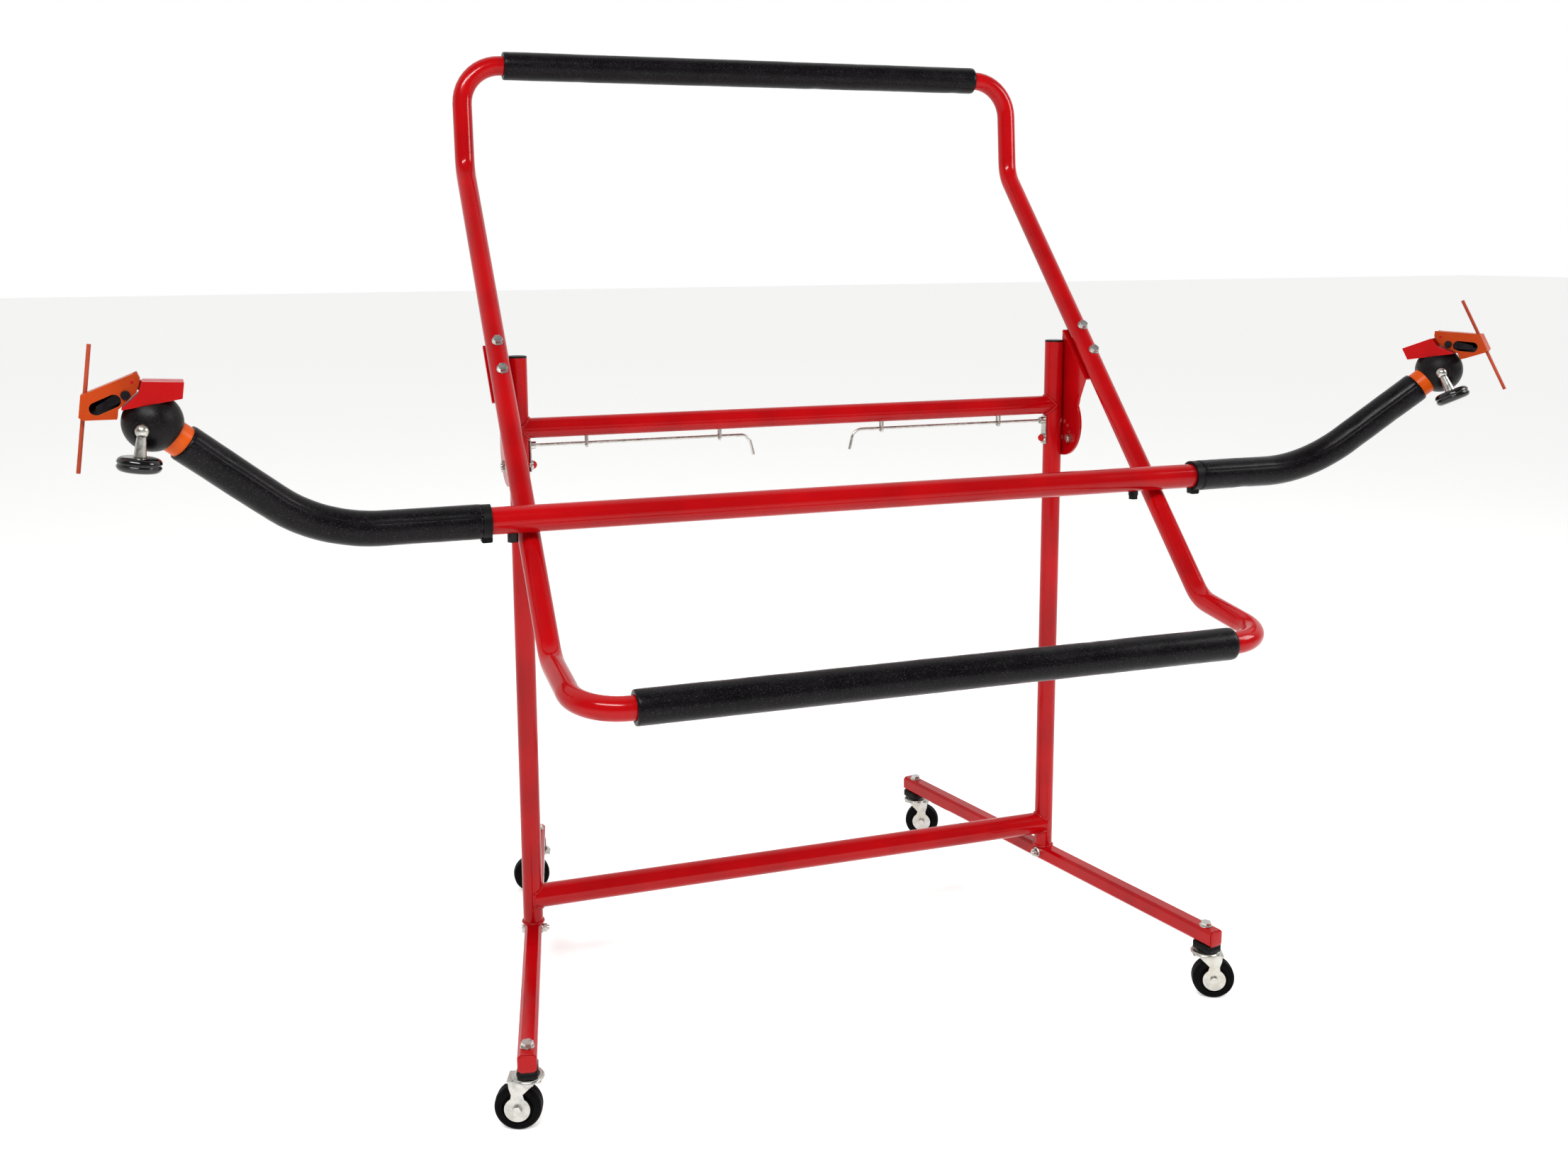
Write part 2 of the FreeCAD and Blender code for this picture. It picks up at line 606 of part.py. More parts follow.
def stop_bolt(s):
    """Bolt in the last lock hole; its nut meets the upright at either end of the tilt."""
    angle = math.radians(4 * lock_pitch_deg)
    y = -lock_radius * math.sin(angle)
    z = pivot_height + lock_radius * math.cos(angle)
    head = hexagon(V(s * plate_outer, y, z), V(s * (plate_outer + bolt_head), y, z), bolt_flats)
    shank = rod(V(s * (plate_inner - 7.5), y, z), V(s * plate_outer, y, z), bolt_radius)
    nut = hexagon(V(s * (plate_inner - 6.5), y, z), V(s * plate_inner, y, z), bolt_flats)
    return head.fuse(shank).fuse(nut).removeSplitter()


def lock_collar(s):
    """Ring at the mid bar's end, with the lug of its clamp screw underneath."""
    length = 12.0
    start = mid_bar_axis(s * (mid_bar_half - length + 3))
    end = start + V(s * length, 0, 0)
    shape = rod(start, end, mid_bar_diameter / 2 + 4.5)
    lug_x = min(start.x, end.x) - 1.5
    low = mid_bar_diameter / 2 + 10
    lug = Part.makeBox(length + 3, 12, low, V(lug_x, start.y - 6, start.z - low))
    lug = lug.makeFillet(2.5, [e for e in lug.Edges if abs(e.Length - 12) < 0.01])
    shape = shape.fuse(lug)
    bar = rod(mid_bar_axis(-mid_bar_half - 2), mid_bar_axis(mid_bar_half + 2), mid_bar_diameter / 2 + sleeve_gap)
    inner = rod(mid_bar_axis(-mid_bar_half - 40), mid_bar_axis(mid_bar_half + 40), tube_radius + 1.2)
    return shape.cut(bar).cut(inner).removeSplitter()


def clamp_screw_place(s):
    """The screws sit just left of each side tube."""
    return mid_bar_axis(s * half_side - clamp_screw_shift[s])


def clamp_screw(s):
    """Screw up through the mid bar's underside that pinches the arm."""
    axis = clamp_screw_place(s)
    wall = mid_bar_diameter / 2
    head = hexagon(axis - V(0, 0, wall + 12), axis - V(0, 0, wall + 6), bolt_flats)
    boss = rod(axis - V(0, 0, wall + 6), axis - V(0, 0, wall - 2), 7.5)
    tip = rod(axis - V(0, 0, wall + 6), axis - V(0, 0, tube_radius + clearance), bolt_radius)
    return head.fuse(boss.cut(mid_bar_solid())).fuse(tip).removeSplitter()


def mid_bar():
    bar = mid_bar_solid()
    inner = mid_bar_diameter / 2 - mid_bar_wall
    bar = bar.cut(rod(mid_bar_axis(-mid_bar_half), mid_bar_axis(mid_bar_half), inner))
    screws = [rod(clamp_screw_place(s), clamp_screw_place(s) - V(0, 0, 40), bolt_radius) for s in (-1, 1)]
    return cut_all(bar, screws)


parts["upper_hoop"] = cut_all(hoop(hoop_top, 1), plate_bolt_holes())
parts["lower_hoop"] = hoop(hoop_bottom, -1)
parts["top_pad"] = pad(1, hoop_top)
parts["bottom_pad"] = pad(-1, hoop_bottom)
parts["mid_bar"] = mid_bar()
parts["side_plate_left"] = side_plate(-1)
parts["side_plate_right"] = side_plate(1)
bolt_places = [(s, place) for s in (-1, 1) for place in plate_bolt_places]
parts["plate_bolts"] = Part.makeCompound([plate_bolt(s, place) for s, place in bolt_places])
parts["plate_nuts"] = Part.makeCompound([plate_nut(s, place) for s, place in bolt_places])
parts["stop_bolts"] = Part.makeCompound([stop_bolt(s) for s in (-1, 1)])
parts["lock_collars"] = Part.makeCompound([lock_collar(s) for s in (-1, 1)])
parts["clamp_screws"] = Part.makeCompound([clamp_screw(s) for s in (-1, 1)])


# ---- arms ----
arm_lean = math.radians(arm_forward_deg)
arm_bend = math.radians(arm_bend_deg)
arm_up = V(0, -math.sin(arm_lean), math.cos(arm_lean))


def arm_end_dir(s):
    return V(s * math.cos(arm_bend), 0, 0) + arm_up * math.sin(arm_bend)


def arm_corner(s):
    """Where the arm's two straight runs would meet."""
    back = arm_bend_radius * math.tan(arm_bend / 2)
    return mid_bar_axis(s * (foam_start + arm_straight + back))


def foam_end(s):
    back = arm_bend_radius * math.tan(arm_bend / 2)
    return arm_corner(s) + arm_end_dir(s) * (back + arm_end_straight)


def head_centre(s):
    return foam_end(s) + arm_end_dir(s) * (sleeve_gap + sleeve_length + block_neck + clearance)


def arm_tube(s):
    end = foam_end(s) + arm_end_dir(s) * (sleeve_length - sleeve_cap - sleeve_gap)
    points = [mid_bar_axis(s * (foam_start - arm_insertion)), arm_corner(s), end]
    return tube_along(points, [arm_bend_radius], tube_radius, tube_radius - tube_wall)


def arm_foam(s):
    points = [mid_bar_axis(s * foam_start), arm_corner(s), foam_end(s)]
    return tube_along(points, [arm_bend_radius], foam_diameter / 2, tube_radius + sleeve_gap)


def arm_sleeve(s):
    """Turned end piece: a cup on the tube and the pin that the clamp head swivels on."""
    start = foam_end(s) + arm_end_dir(s) * sleeve_gap
    end = start + arm_end_dir(s) * sleeve_length
    cup = rod(start, end, sleeve_diameter / 2)
    bore_end = end - arm_end_dir(s) * sleeve_cap
    cup = cup.cut(rod(start, bore_end, tube_radius + sleeve_gap))
    pin = rod(end, end + arm_end_dir(s) * swivel_pin_length, swivel_pin_diameter / 2)
    return cup.fuse(pin).removeSplitter()


# ---- clamp heads, built about the block's centre with +X outwards and then turned ----
def head_prism(outline, y_from, y_to):
    """Face given by (x, z) corners in the head's own frame, extruded sideways."""
    corners = [V(x, y_from, z) for x, z in outline + outline[:1]]
    return Part.Face(Part.makePolygon(corners)).extrude(V(0, y_to - y_from, 0))


def head_pin(place, reach, radius):
    """Round pin across a head, reaching the same distance to both sides."""
    x, z = place
    return rod(V(x, -reach, z), V(x, reach, z), radius)


def cover_seat_height(x):
    return cover_seat - x * math.tan(math.radians(cover_slope_deg))


def head_stud(front):
    """Turned stud: a ball set in the block's front, a flared neck and a shank for the knob."""
    x, y = stud_place
    axis = V(x, front * y, 0)
    neck_top = stud_ball_height - stud_ball_radius + 1.5
    neck = Part.makeCone(stud_ball_radius - 1, stud_ball_radius - 2.8, neck_top - stud_foot,
                         axis + V(0, 0, stud_foot))
    ball = Part.makeSphere(stud_ball_radius, axis + V(0, 0, stud_ball_height))
    shank = rod(axis + V(0, 0, stud_foot - 12), axis + V(0, 0, stud_foot + 1), stud_shank_diameter / 2)
    return ball.fuse(neck).fuse(shank).removeSplitter()


def head_block(front, back_dir):
    """Ball with a sloping seat for the cover, a flat neck on the arm and a boss for the stud."""
    reach = 3 * block_radius
    above = [(-reach, cover_seat_height(-reach)), (reach, cover_seat_height(reach)),
             (reach, 2 * reach), (-reach, 2 * reach)]
    x, y = stud_place
    boss = rod(V(x, front * (y - 16), stud_ball_height), V(x, front * (y - 3), stud_ball_height),
               stud_ball_radius + 3)
    block = Part.makeSphere(block_radius).cut(head_prism(above, -reach, reach)).fuse(boss)
    block = block.cut(rod(back_dir * block_neck, back_dir * reach, reach))
    bore = rod(back_dir * reach, back_dir * (block_neck - swivel_pin_length - 1),
               swivel_pin_diameter / 2 + running_gap)
    return block.cut(bore).cut(head_stud(front)).removeSplitter()


def head_cover():
    """Wedge on top of the block, with a tongue and the pin that the jaw opens on."""
    front_top = jaw_pin[1] + 3
    outline = [(-cover_back, cover_seat_height(-cover_back)), (-cover_back, front_top + 4),
               (jaw_pin[0] - 11, front_top), (jaw_pin[0] - 8, jaw_pin[1] - 12),
               (cover_nose, cover_seat_height(cover_nose))]
    cover = head_prism(outline, -cover_half_width, cover_half_width)
    sharp = [e for e in cover.Edges if abs(e.Length - 2 * cover_half_width) < 0.01]
    cover = cover.makeFillet(1.0, sharp)
    half_tongue = jaw_half_width - jaw_sheet - 3 * clearance
    tongue = head_prism([(jaw_pin[0] - 14, front_top - 1), (jaw_pin[0] - 14, jaw_pin[1] - 11),
                         (jaw_pin[0], jaw_pin[1] - tongue_radius), (jaw_pin[0], jaw_pin[1] + tongue_radius - 0.3)],
                        -half_tongue, half_tongue)
    tongue = tongue.fuse(head_pin(jaw_pin, half_tongue, tongue_radius))
    pin = head_pin(jaw_pin, jaw_half_width, hinge_pin_radius)
    return cover.fuse(tongue).fuse(pin).removeSplitter()


def head_jaw():
    """Folded jaw: two cheeks with a long oval opening, a sloping top web and a solid tip."""
    x, z = jaw_pin
    end = jaw_length
    top_at_end = 26.0
    rear = [(cover_nose + 1.5, 1), (cover_nose + 1.5, 12.5), (x - 6, z - 11.5), (x - 8, z - 3)]
    outline = [(x - 8.5, z + 5), (x - 4, z + 12.5), (end - 6, top_at_end + 3), (end, top_at_end),
               (end, -1), (end - 5, -4)] + rear
    inner = jaw_half_width - jaw_sheet
    jaw = head_prism(outline, -jaw_half_width, jaw_half_width)
    fall = (top_at_end + 3 - z - 12.5) / (end - 6 - x + 4)
    web_start = z + 12.5 + 4 * fall - jaw_sheet - 0.3
    web_end = web_start + (end - jaw_tip - x) * fall
    hollow = [(x - 20, -10), (x - 20, z + 30), (x, z + 30), (x, web_start), (end - jaw_tip, web_end),
              (end - jaw_tip, -10)]
    jaw = jaw.cut(head_prism(hollow, -inner, inner))
    wide = 2 * jaw_half_width
    near, far, half_open = (45.0, 22.5), (63.5, 11.5), 8.0
    slant = math.atan2(far[1] - near[1], far[0] - near[0])
    rise = (-half_open * math.sin(slant), half_open * math.cos(slant))
    opening = head_pin(near, wide, half_open).fuse(head_pin(far, wide, half_open))
    sides_of_opening = [(near[0] + rise[0], near[1] + rise[1]), (far[0] + rise[0], far[1] + rise[1]),
                        (far[0] - rise[0], far[1] - rise[1]), (near[0] - rise[0], near[1] - rise[1])]
    opening = opening.fuse(head_prism(sides_of_opening, -wide, wide))
    jaw = jaw.cut(opening)
    jaw = jaw.cut(head_pin(jaw_pin, wide, hinge_pin_radius + running_gap))
    jaw = jaw.cut(head_pin(lever_pin, wide, hinge_pin_radius + running_gap))
    bore_x = end - jaw_tip / 2
    return jaw.cut(rod(V(bore_x, 0, -20), V(bore_x, 0, 60), cross_rod_diameter / 2 + running_gap)).removeSplitter()


def head_lever():
    """Cam lever between the jaw's cheeks, with the round heads of its pin outside them."""
    x, z = lever_pin
    inner = jaw_half_width - jaw_sheet - clearance
    lever = head_prism([(x, z + 6), (x + 14, z - 2), (x + 31, z - 17), (x + 31, z - 21), (x + 22, z - 20),
                        (x + 8, z - 12), (x - 2, z - 5)], -inner, inner)
    lever = lever.fuse(head_pin(lever_pin, inner, 6)).fuse(head_pin(lever_pin, jaw_half_width + 1, hinge_pin_radius))
    for side in (-1, 1):
        near = V(x, side * (jaw_half_width + clearance), z)
        lever = lever.fuse(rod(near, near + V(0, side * 1.8, 0), lever_head_radius))
    return lever.removeSplitter()


def cross_rod():
    centre = V(jaw_length - jaw_tip / 2, 0, cross_rod_centre)
    half = V(0, 0, cross_rod_length / 2)
    return rod(centre - half, centre + half, cross_rod_diameter / 2)


def head_knob(front):
    """Round push knob with a shallow groove round its rim."""
    x, y = stud_place
    top = stud_foot - clearance
    axis = V(x, front * y, 0)
    knob = Part.makeCylinder(knob_radius, knob_height, axis + V(0, 0, top - knob_height))
    knob = knob.makeFillet(7.0, [e for e in knob.Edges if e.Closed])
    groove = Part.makeTorus(knob_radius + 1.2, 2.4, axis + V(0, 0, top - knob_height / 2))
    return knob.cut(groove).cut(rod(axis + V(0, 0, top - 12.2), axis + V(0, 0, top + 1),
                                    stud_shank_diameter / 2 + running_gap))


def clamp_head(side_name, s):
    """All pieces of one clamp head, tipped up, turned to face outwards and placed on the arm's end."""
    yaw = head_yaw_deg[side_name]
    turn = FreeCAD.Rotation(V(0, 0, 1), -yaw if s > 0 else 180 + yaw)
    tip_up = FreeCAD.Rotation(V(0, 1, 0), -head_roll_deg[side_name])
    placement = FreeCAD.Placement(head_centre(s), turn.multiply(tip_up))
    back_dir = placement.Rotation.inverted().multVec(arm_end_dir(s) * -1)
    pieces = {"swivel_block_": head_block(-s, back_dir), "head_cover_": head_cover(), "jaw_": head_jaw(),
              "cam_lever_": head_lever(), "cross_rod_": cross_rod(), "clamp_stud_": head_stud(-s),
              "clamp_knob_": head_knob(-s)}
    for key, shape in pieces.items():
        shape.Placement = placement.multiply(shape.Placement)
        parts[key + side_name] = shape


for side_name, s in sides.items():
    parts["arm_tube_" + side_name] = arm_tube(s)
    parts["arm_foam_" + side_name] = arm_foam(s)
    parts["arm_sleeve_" + side_name] = arm_sleeve(s)
    clamp_head(side_name, s)

os.makedirs("parts", exist_ok=True)
for name, shape in parts.items():
    shape.exportStep("parts/" + name + ".step")
print(len(parts), "parts")
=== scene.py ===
# Wheeled tilting bumper stand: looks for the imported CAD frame. Metres, +Z up, front is -Y.
import json
import math
import random

import bpy
import bmesh
from mathutils import Matrix, Vector, noise


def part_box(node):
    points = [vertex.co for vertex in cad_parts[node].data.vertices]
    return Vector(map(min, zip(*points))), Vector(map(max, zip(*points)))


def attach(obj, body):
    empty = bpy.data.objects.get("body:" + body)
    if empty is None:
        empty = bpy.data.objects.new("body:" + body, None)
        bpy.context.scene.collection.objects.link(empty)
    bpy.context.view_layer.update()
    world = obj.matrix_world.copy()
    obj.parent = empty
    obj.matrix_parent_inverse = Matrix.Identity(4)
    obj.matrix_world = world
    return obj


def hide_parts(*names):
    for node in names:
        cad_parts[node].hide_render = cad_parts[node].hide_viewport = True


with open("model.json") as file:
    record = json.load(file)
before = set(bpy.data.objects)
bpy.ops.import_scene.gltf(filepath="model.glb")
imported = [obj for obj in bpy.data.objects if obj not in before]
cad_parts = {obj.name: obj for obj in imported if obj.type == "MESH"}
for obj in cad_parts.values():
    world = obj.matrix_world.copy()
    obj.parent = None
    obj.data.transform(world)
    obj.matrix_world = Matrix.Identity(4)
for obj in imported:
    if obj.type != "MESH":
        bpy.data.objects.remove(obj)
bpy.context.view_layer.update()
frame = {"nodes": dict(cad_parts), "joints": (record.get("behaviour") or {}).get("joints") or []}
nodes = frame["nodes"]
sides = {"left": -1.0, "right": 1.0}
random.seed(11)                           # the dents in the foam are the same each run
print("stage: frame loaded,", len(nodes), "CAD nodes")

cameraView = {
    "place": (-0.8601, -2.3030, 1.2075),
    "yawRad": 0.3284,                     # turned right from straight ahead
    "pitchRad": 0.1478,                   # tipped down
    "rollRad": -0.0065,
    "lensMm": 34.2954,
    "sensorMm": 36,
    "shift": (0.0159, -0.07676),          # shares of the picture's width
}


def placeCamera(view):
    yaw, pitch, roll = view["yawRad"], view["pitchRad"], view["rollRad"]
    level = Vector((math.cos(yaw), -math.sin(yaw), 0))
    ahead = Vector((math.sin(yaw), math.cos(yaw), 0)) * math.cos(pitch) - Vector((0, 0, math.sin(pitch)))
    above = level.cross(ahead)
    right = level * math.cos(roll) + above * math.sin(roll)
    up = above * math.cos(roll) - level * math.sin(roll)
    lens = bpy.data.cameras.new("studioCamera")
    lens.sensor_width = view["sensorMm"]
    lens.lens = view["lensMm"]
    lens.shift_x, lens.shift_y = view["shift"]
    lens.dof.use_dof = False
    camera = bpy.data.objects.new("studioCamera", lens)
    turn = Matrix((right, up, -ahead)).transposed()
    camera.matrix_world = Matrix.Translation(view["place"]) @ turn.to_4x4()
    bpy.context.scene.collection.objects.link(camera)
    bpy.context.scene.camera = camera


placeCamera(cameraView)
print("stage: camera placed")


def srgb(text):
    parts = [int(text[i:i + 2], 16) / 255 for i in (0, 2, 4)]
    linear = [c / 12.92 if c <= 0.04045 else ((c + 0.055) / 1.055) ** 2.4 for c in parts]
    return (*linear, 1.0)


def perMm(size):
    return 1000.0 / size                  # texture scale for a pattern of that size in millimetres


def addNode(tree, kind, settings=None, links=None):
    node = tree.nodes.new(kind)
    for key, value in (settings or {}).items():
        if isinstance(key, str) and hasattr(node, key):
            setattr(node, key, value)
        else:
            node.inputs[key].default_value = value
    for key, source in (links or {}).items():
        tree.links.new(source, node.inputs[key])
    return node


bevelSamples = 6


def startMaterial(name, settings):
    material = bpy.data.materials.new(name)
    material.use_nodes = True
    tree = material.node_tree
    shader = tree.nodes["Principled BSDF"]
    for key, value in settings.items():
        shader.inputs[key].default_value = value
    where = addNode(tree, "ShaderNodeTexCoord")
    return material, tree, shader, where.outputs["Object"]


paintPattern = {"cloudMm": 90, "grimeMm": 28, "speckMm": 1.6, "smearMm": 35,
                "smoothest": 0.8, "roughest": 1.35}
# edge colour: fine specks, and the painted highlight along sharp edges (its strength is the share before
# roughness)
redPowder = {"main": "a9050b", "shade": "980409", "edge": "cc3a34", "dirt": "6e1210", "roundMm": 0.9,
             "peelMm": 2.6, "peelDepthMm": 0.03, "edgeHighlightShare": 0.4, "roughness": 0.13, "shine": 0.2}
orangePowder = {"main": "d8570c", "shade": "c24808", "edge": "eb8f4c", "dirt": "8a3410", "roundMm": 0.6,
                "peelMm": 2.0, "peelDepthMm": 0.03, "edgeHighlightShare": 0.6, "roughness": 0.32, "shine": 0.15}
orangeEnamel = {"main": "ab3a0a", "shade": "9a3108", "edge": "d67a38", "dirt": "6a280c", "roundMm": 0.6,
                "peelMm": 2.0, "peelDepthMm": 0.03, "edgeHighlightShare": 0.6, "roughness": 0.32, "shine": 0.15}
copperPowder = {"main": "a4432a", "shade": "8f331d", "edge": "cf8064", "dirt": "5e2414", "roundMm": 0.4,
                "peelMm": 1.8, "peelDepthMm": 0.03, "edgeHighlightShare": 0.8, "roughness": 0.4, "shine": 0.15}
redPlastic = {"main": "ad0408", "shade": "9e0507", "edge": "d24a3a", "dirt": "7a1512", "roundMm": 1.2,
              "peelMm": 1.2, "peelDepthMm": 0.04, "edgeHighlightShare": 0.4, "roughness": 0.3, "shine": 0.15}


def paintFinish(name, look):
    material, tree, shader, where = startMaterial(name, {"IOR": 1.5, "Specular IOR Level": look["shine"]})
    cloud = addNode(tree, "ShaderNodeTexNoise", {"Scale": perMm(paintPattern["cloudMm"]), "Detail": 3.0},
                    {"Vector": where})
    cloudSpan = addNode(tree, "ShaderNodeMapRange", {"From Min": 0.35, "From Max": 0.65},
                        {"Value": cloud.outputs[0]})
    body = addNode(tree, "ShaderNodeMix",
                   {"data_type": "RGBA", 6: srgb(look["main"]), 7: srgb(look["shade"])},
                   {0: cloudSpan.outputs[0]})
    grime = addNode(tree, "ShaderNodeTexNoise",
                    {"Scale": perMm(paintPattern["grimeMm"]), "Detail": 6.0, "Roughness": 0.65},
                    {"Vector": where})
    grimeSpan = addNode(tree, "ShaderNodeMapRange", {"From Min": 0.58, "From Max": 0.8, "To Max": 0.3},
                        {"Value": grime.outputs[0]})
    dirty = addNode(tree, "ShaderNodeMix", {"data_type": "RGBA", 7: srgb(look["dirt"])},
                    {0: grimeSpan.outputs[0], 6: body.outputs[2]})
    speck = addNode(tree, "ShaderNodeTexNoise", {"Scale": perMm(paintPattern["speckMm"]), "Detail": 1.0},
                    {"Vector": where})
    speckSpan = addNode(tree, "ShaderNodeMapRange", {"From Min": 0.72, "From Max": 0.78, "To Max": 0.25},
                        {"Value": speck.outputs[0]})
    specked = addNode(tree, "ShaderNodeMix", {"data_type": "RGBA", 7: srgb(look["edge"])},
                      {0: speckSpan.outputs[0], 6: dirty.outputs[2]})
    rounded = addNode(tree, "ShaderNodeBevel", {"samples": bevelSamples, "Radius": look["roundMm"] / 1000})
    flat = addNode(tree, "ShaderNodeNewGeometry")
    turned = addNode(tree, "ShaderNodeVectorMath", {"operation": "DOT_PRODUCT"},
                     {0: rounded.outputs[0], 1: flat.outputs["Normal"]})
    edgeHighlightMask = addNode(tree, "ShaderNodeMapRange", {"From Min": 0.97, "From Max": 0.8, "To Max": look["edgeHighlightShare"]},
                    {"Value": turned.outputs["Value"]})      # painted highlight: lighter colour along sharp edges
    edgeHighlighted = addNode(tree, "ShaderNodeMix", {"data_type": "RGBA", 7: srgb(look["edge"])},
                   {0: edgeHighlightMask.outputs[0], 6: specked.outputs[2]})
    tree.links.new(edgeHighlighted.outputs[2], shader.inputs["Base Color"])
    smear = addNode(tree, "ShaderNodeTexNoise", {"Scale": perMm(paintPattern["smearMm"]), "Detail": 4.0},
                    {"Vector": where})
    smearSpan = addNode(tree, "ShaderNodeMapRange",
                        {"From Min": 0.3, "From Max": 0.7,
                         "To Min": look["roughness"] * paintPattern["smoothest"],
                         "To Max": look["roughness"] * paintPattern["roughest"]},
                        {"Value": smear.outputs[0]})
    tree.links.new(smearSpan.outputs[0], shader.inputs["Roughness"])
    peel = addNode(tree, "ShaderNodeTexNoise", {"Scale": perMm(look["peelMm"]), "Detail": 1.0},
                   {"Vector": where})
    bump = addNode(tree, "ShaderNodeBump", {"Strength": 0.4, "Distance": look["peelDepthMm"] / 1000},
                   {"Height": peel.outputs[0], "Normal": rounded.outputs[0]})
    tree.links.new(bump.outputs[0], shader.inputs["Normal"])
    return material


metalPattern = {"patchMm": 12, "tintMm": 30, "dullMm": 5, "grainDepthMm": 0.03,
                "smoothest": 0.75, "roughest": 1.45}
zincPlate = {"main": "c4c3be", "stain": "a9a8a3", "warm": "bdb6a6", "roughness": 0.27, "grainMm": 0.7,
             "roundMm": 0.5}
blackenedSteel = {"main": "2a282a", "stain": "1b1a1c", "warm": "3a3431", "roughness": 0.36, "grainMm": 0.9,
                  "roundMm": 0.5}


def metalFinish(name, look):
    material, tree, shader, where = startMaterial(name, {"Metallic": 1.0})
    patch = addNode(tree, "ShaderNodeTexNoise", {"Scale": perMm(metalPattern["patchMm"]), "Detail": 4.0},
                    {"Vector": where})
    patchSpan = addNode(tree, "ShaderNodeMapRange", {"From Min": 0.42, "From Max": 0.7},
                        {"Value": patch.outputs[0]})
    body = addNode(tree, "ShaderNodeMix",
                   {"data_type": "RGBA", 6: srgb(look["main"]), 7: srgb(look["stain"])},
                   {0: patchSpan.outputs[0]})
    tint = addNode(tree, "ShaderNodeTexNoise", {"Scale": perMm(metalPattern["tintMm"]), "Detail": 2.0},
                   {"Vector": where})
    tintSpan = addNode(tree, "ShaderNodeMapRange", {"From Min": 0.5, "From Max": 0.75, "To Max": 0.6},
                       {"Value": tint.outputs[0]})
    tinted = addNode(tree, "ShaderNodeMix", {"data_type": "RGBA", 7: srgb(look["warm"])},
                     {0: tintSpan.outputs[0], 6: body.outputs[2]})
    tree.links.new(tinted.outputs[2], shader.inputs["Base Color"])
    dull = addNode(tree, "ShaderNodeTexNoise", {"Scale": perMm(metalPattern["dullMm"]), "Detail": 4.0},
                   {"Vector": where})
    dullSpan = addNode(tree, "ShaderNodeMapRange",
                       {"From Min": 0.3, "From Max": 0.7,
                        "To Min": look["roughness"] * metalPattern["smoothest"],
                        "To Max": look["roughness"] * metalPattern["roughest"]},
                       {"Value": dull.outputs[0]})
    tree.links.new(dullSpan.outputs[0], shader.inputs["Roughness"])
    fine = addNode(tree, "ShaderNodeTexNoise", {"Scale": perMm(look["grainMm"]), "Detail": 3.0},
                   {"Vector": where})
    rounded = addNode(tree, "ShaderNodeBevel", {"samples": bevelSamples, "Radius": look["roundMm"] / 1000})
    bump = addNode(tree, "ShaderNodeBump",
                   {"Strength": 0.3, "Distance": metalPattern["grainDepthMm"] / 1000},
                   {"Height": fine.outputs[0], "Normal": rounded.outputs[0]})
    tree.links.new(bump.outputs[0], shader.inputs["Normal"])
    return material


blackPattern = {"smearMm": 18, "smoothest": 0.8, "roughest": 1.3}
# the second colour: dust on the grain's peaks, and the painted highlight along sharp edges
mouldedBlack = {"main": "0a090a", "dustAndEdgeSheen": "282628", "roughness": 0.42, "grainMm": 1.2, "depthMm": 0.06,
                "roundMm": 0.8, "shine": 0.12}
castBlack = {"main": "0b0809", "dustAndEdgeSheen": "332b2d", "roughness": 0.4, "grainMm": 2.2, "depthMm": 0.3,
             "roundMm": 1.2, "shine": 0.14}
phenolicBlack = {"main": "050405", "dustAndEdgeSheen": "1c1a1c", "roughness": 0.14, "grainMm": 4.0, "depthMm": 0.02,
                 "roundMm": 1.0, "shine": 0.5}
tyreRubber = {"main": "040304", "dustAndEdgeSheen": "1c1a1b", "roughness": 0.58, "grainMm": 1.5, "depthMm": 0.12,
              "roundMm": 0.6, "shine": 0.06}


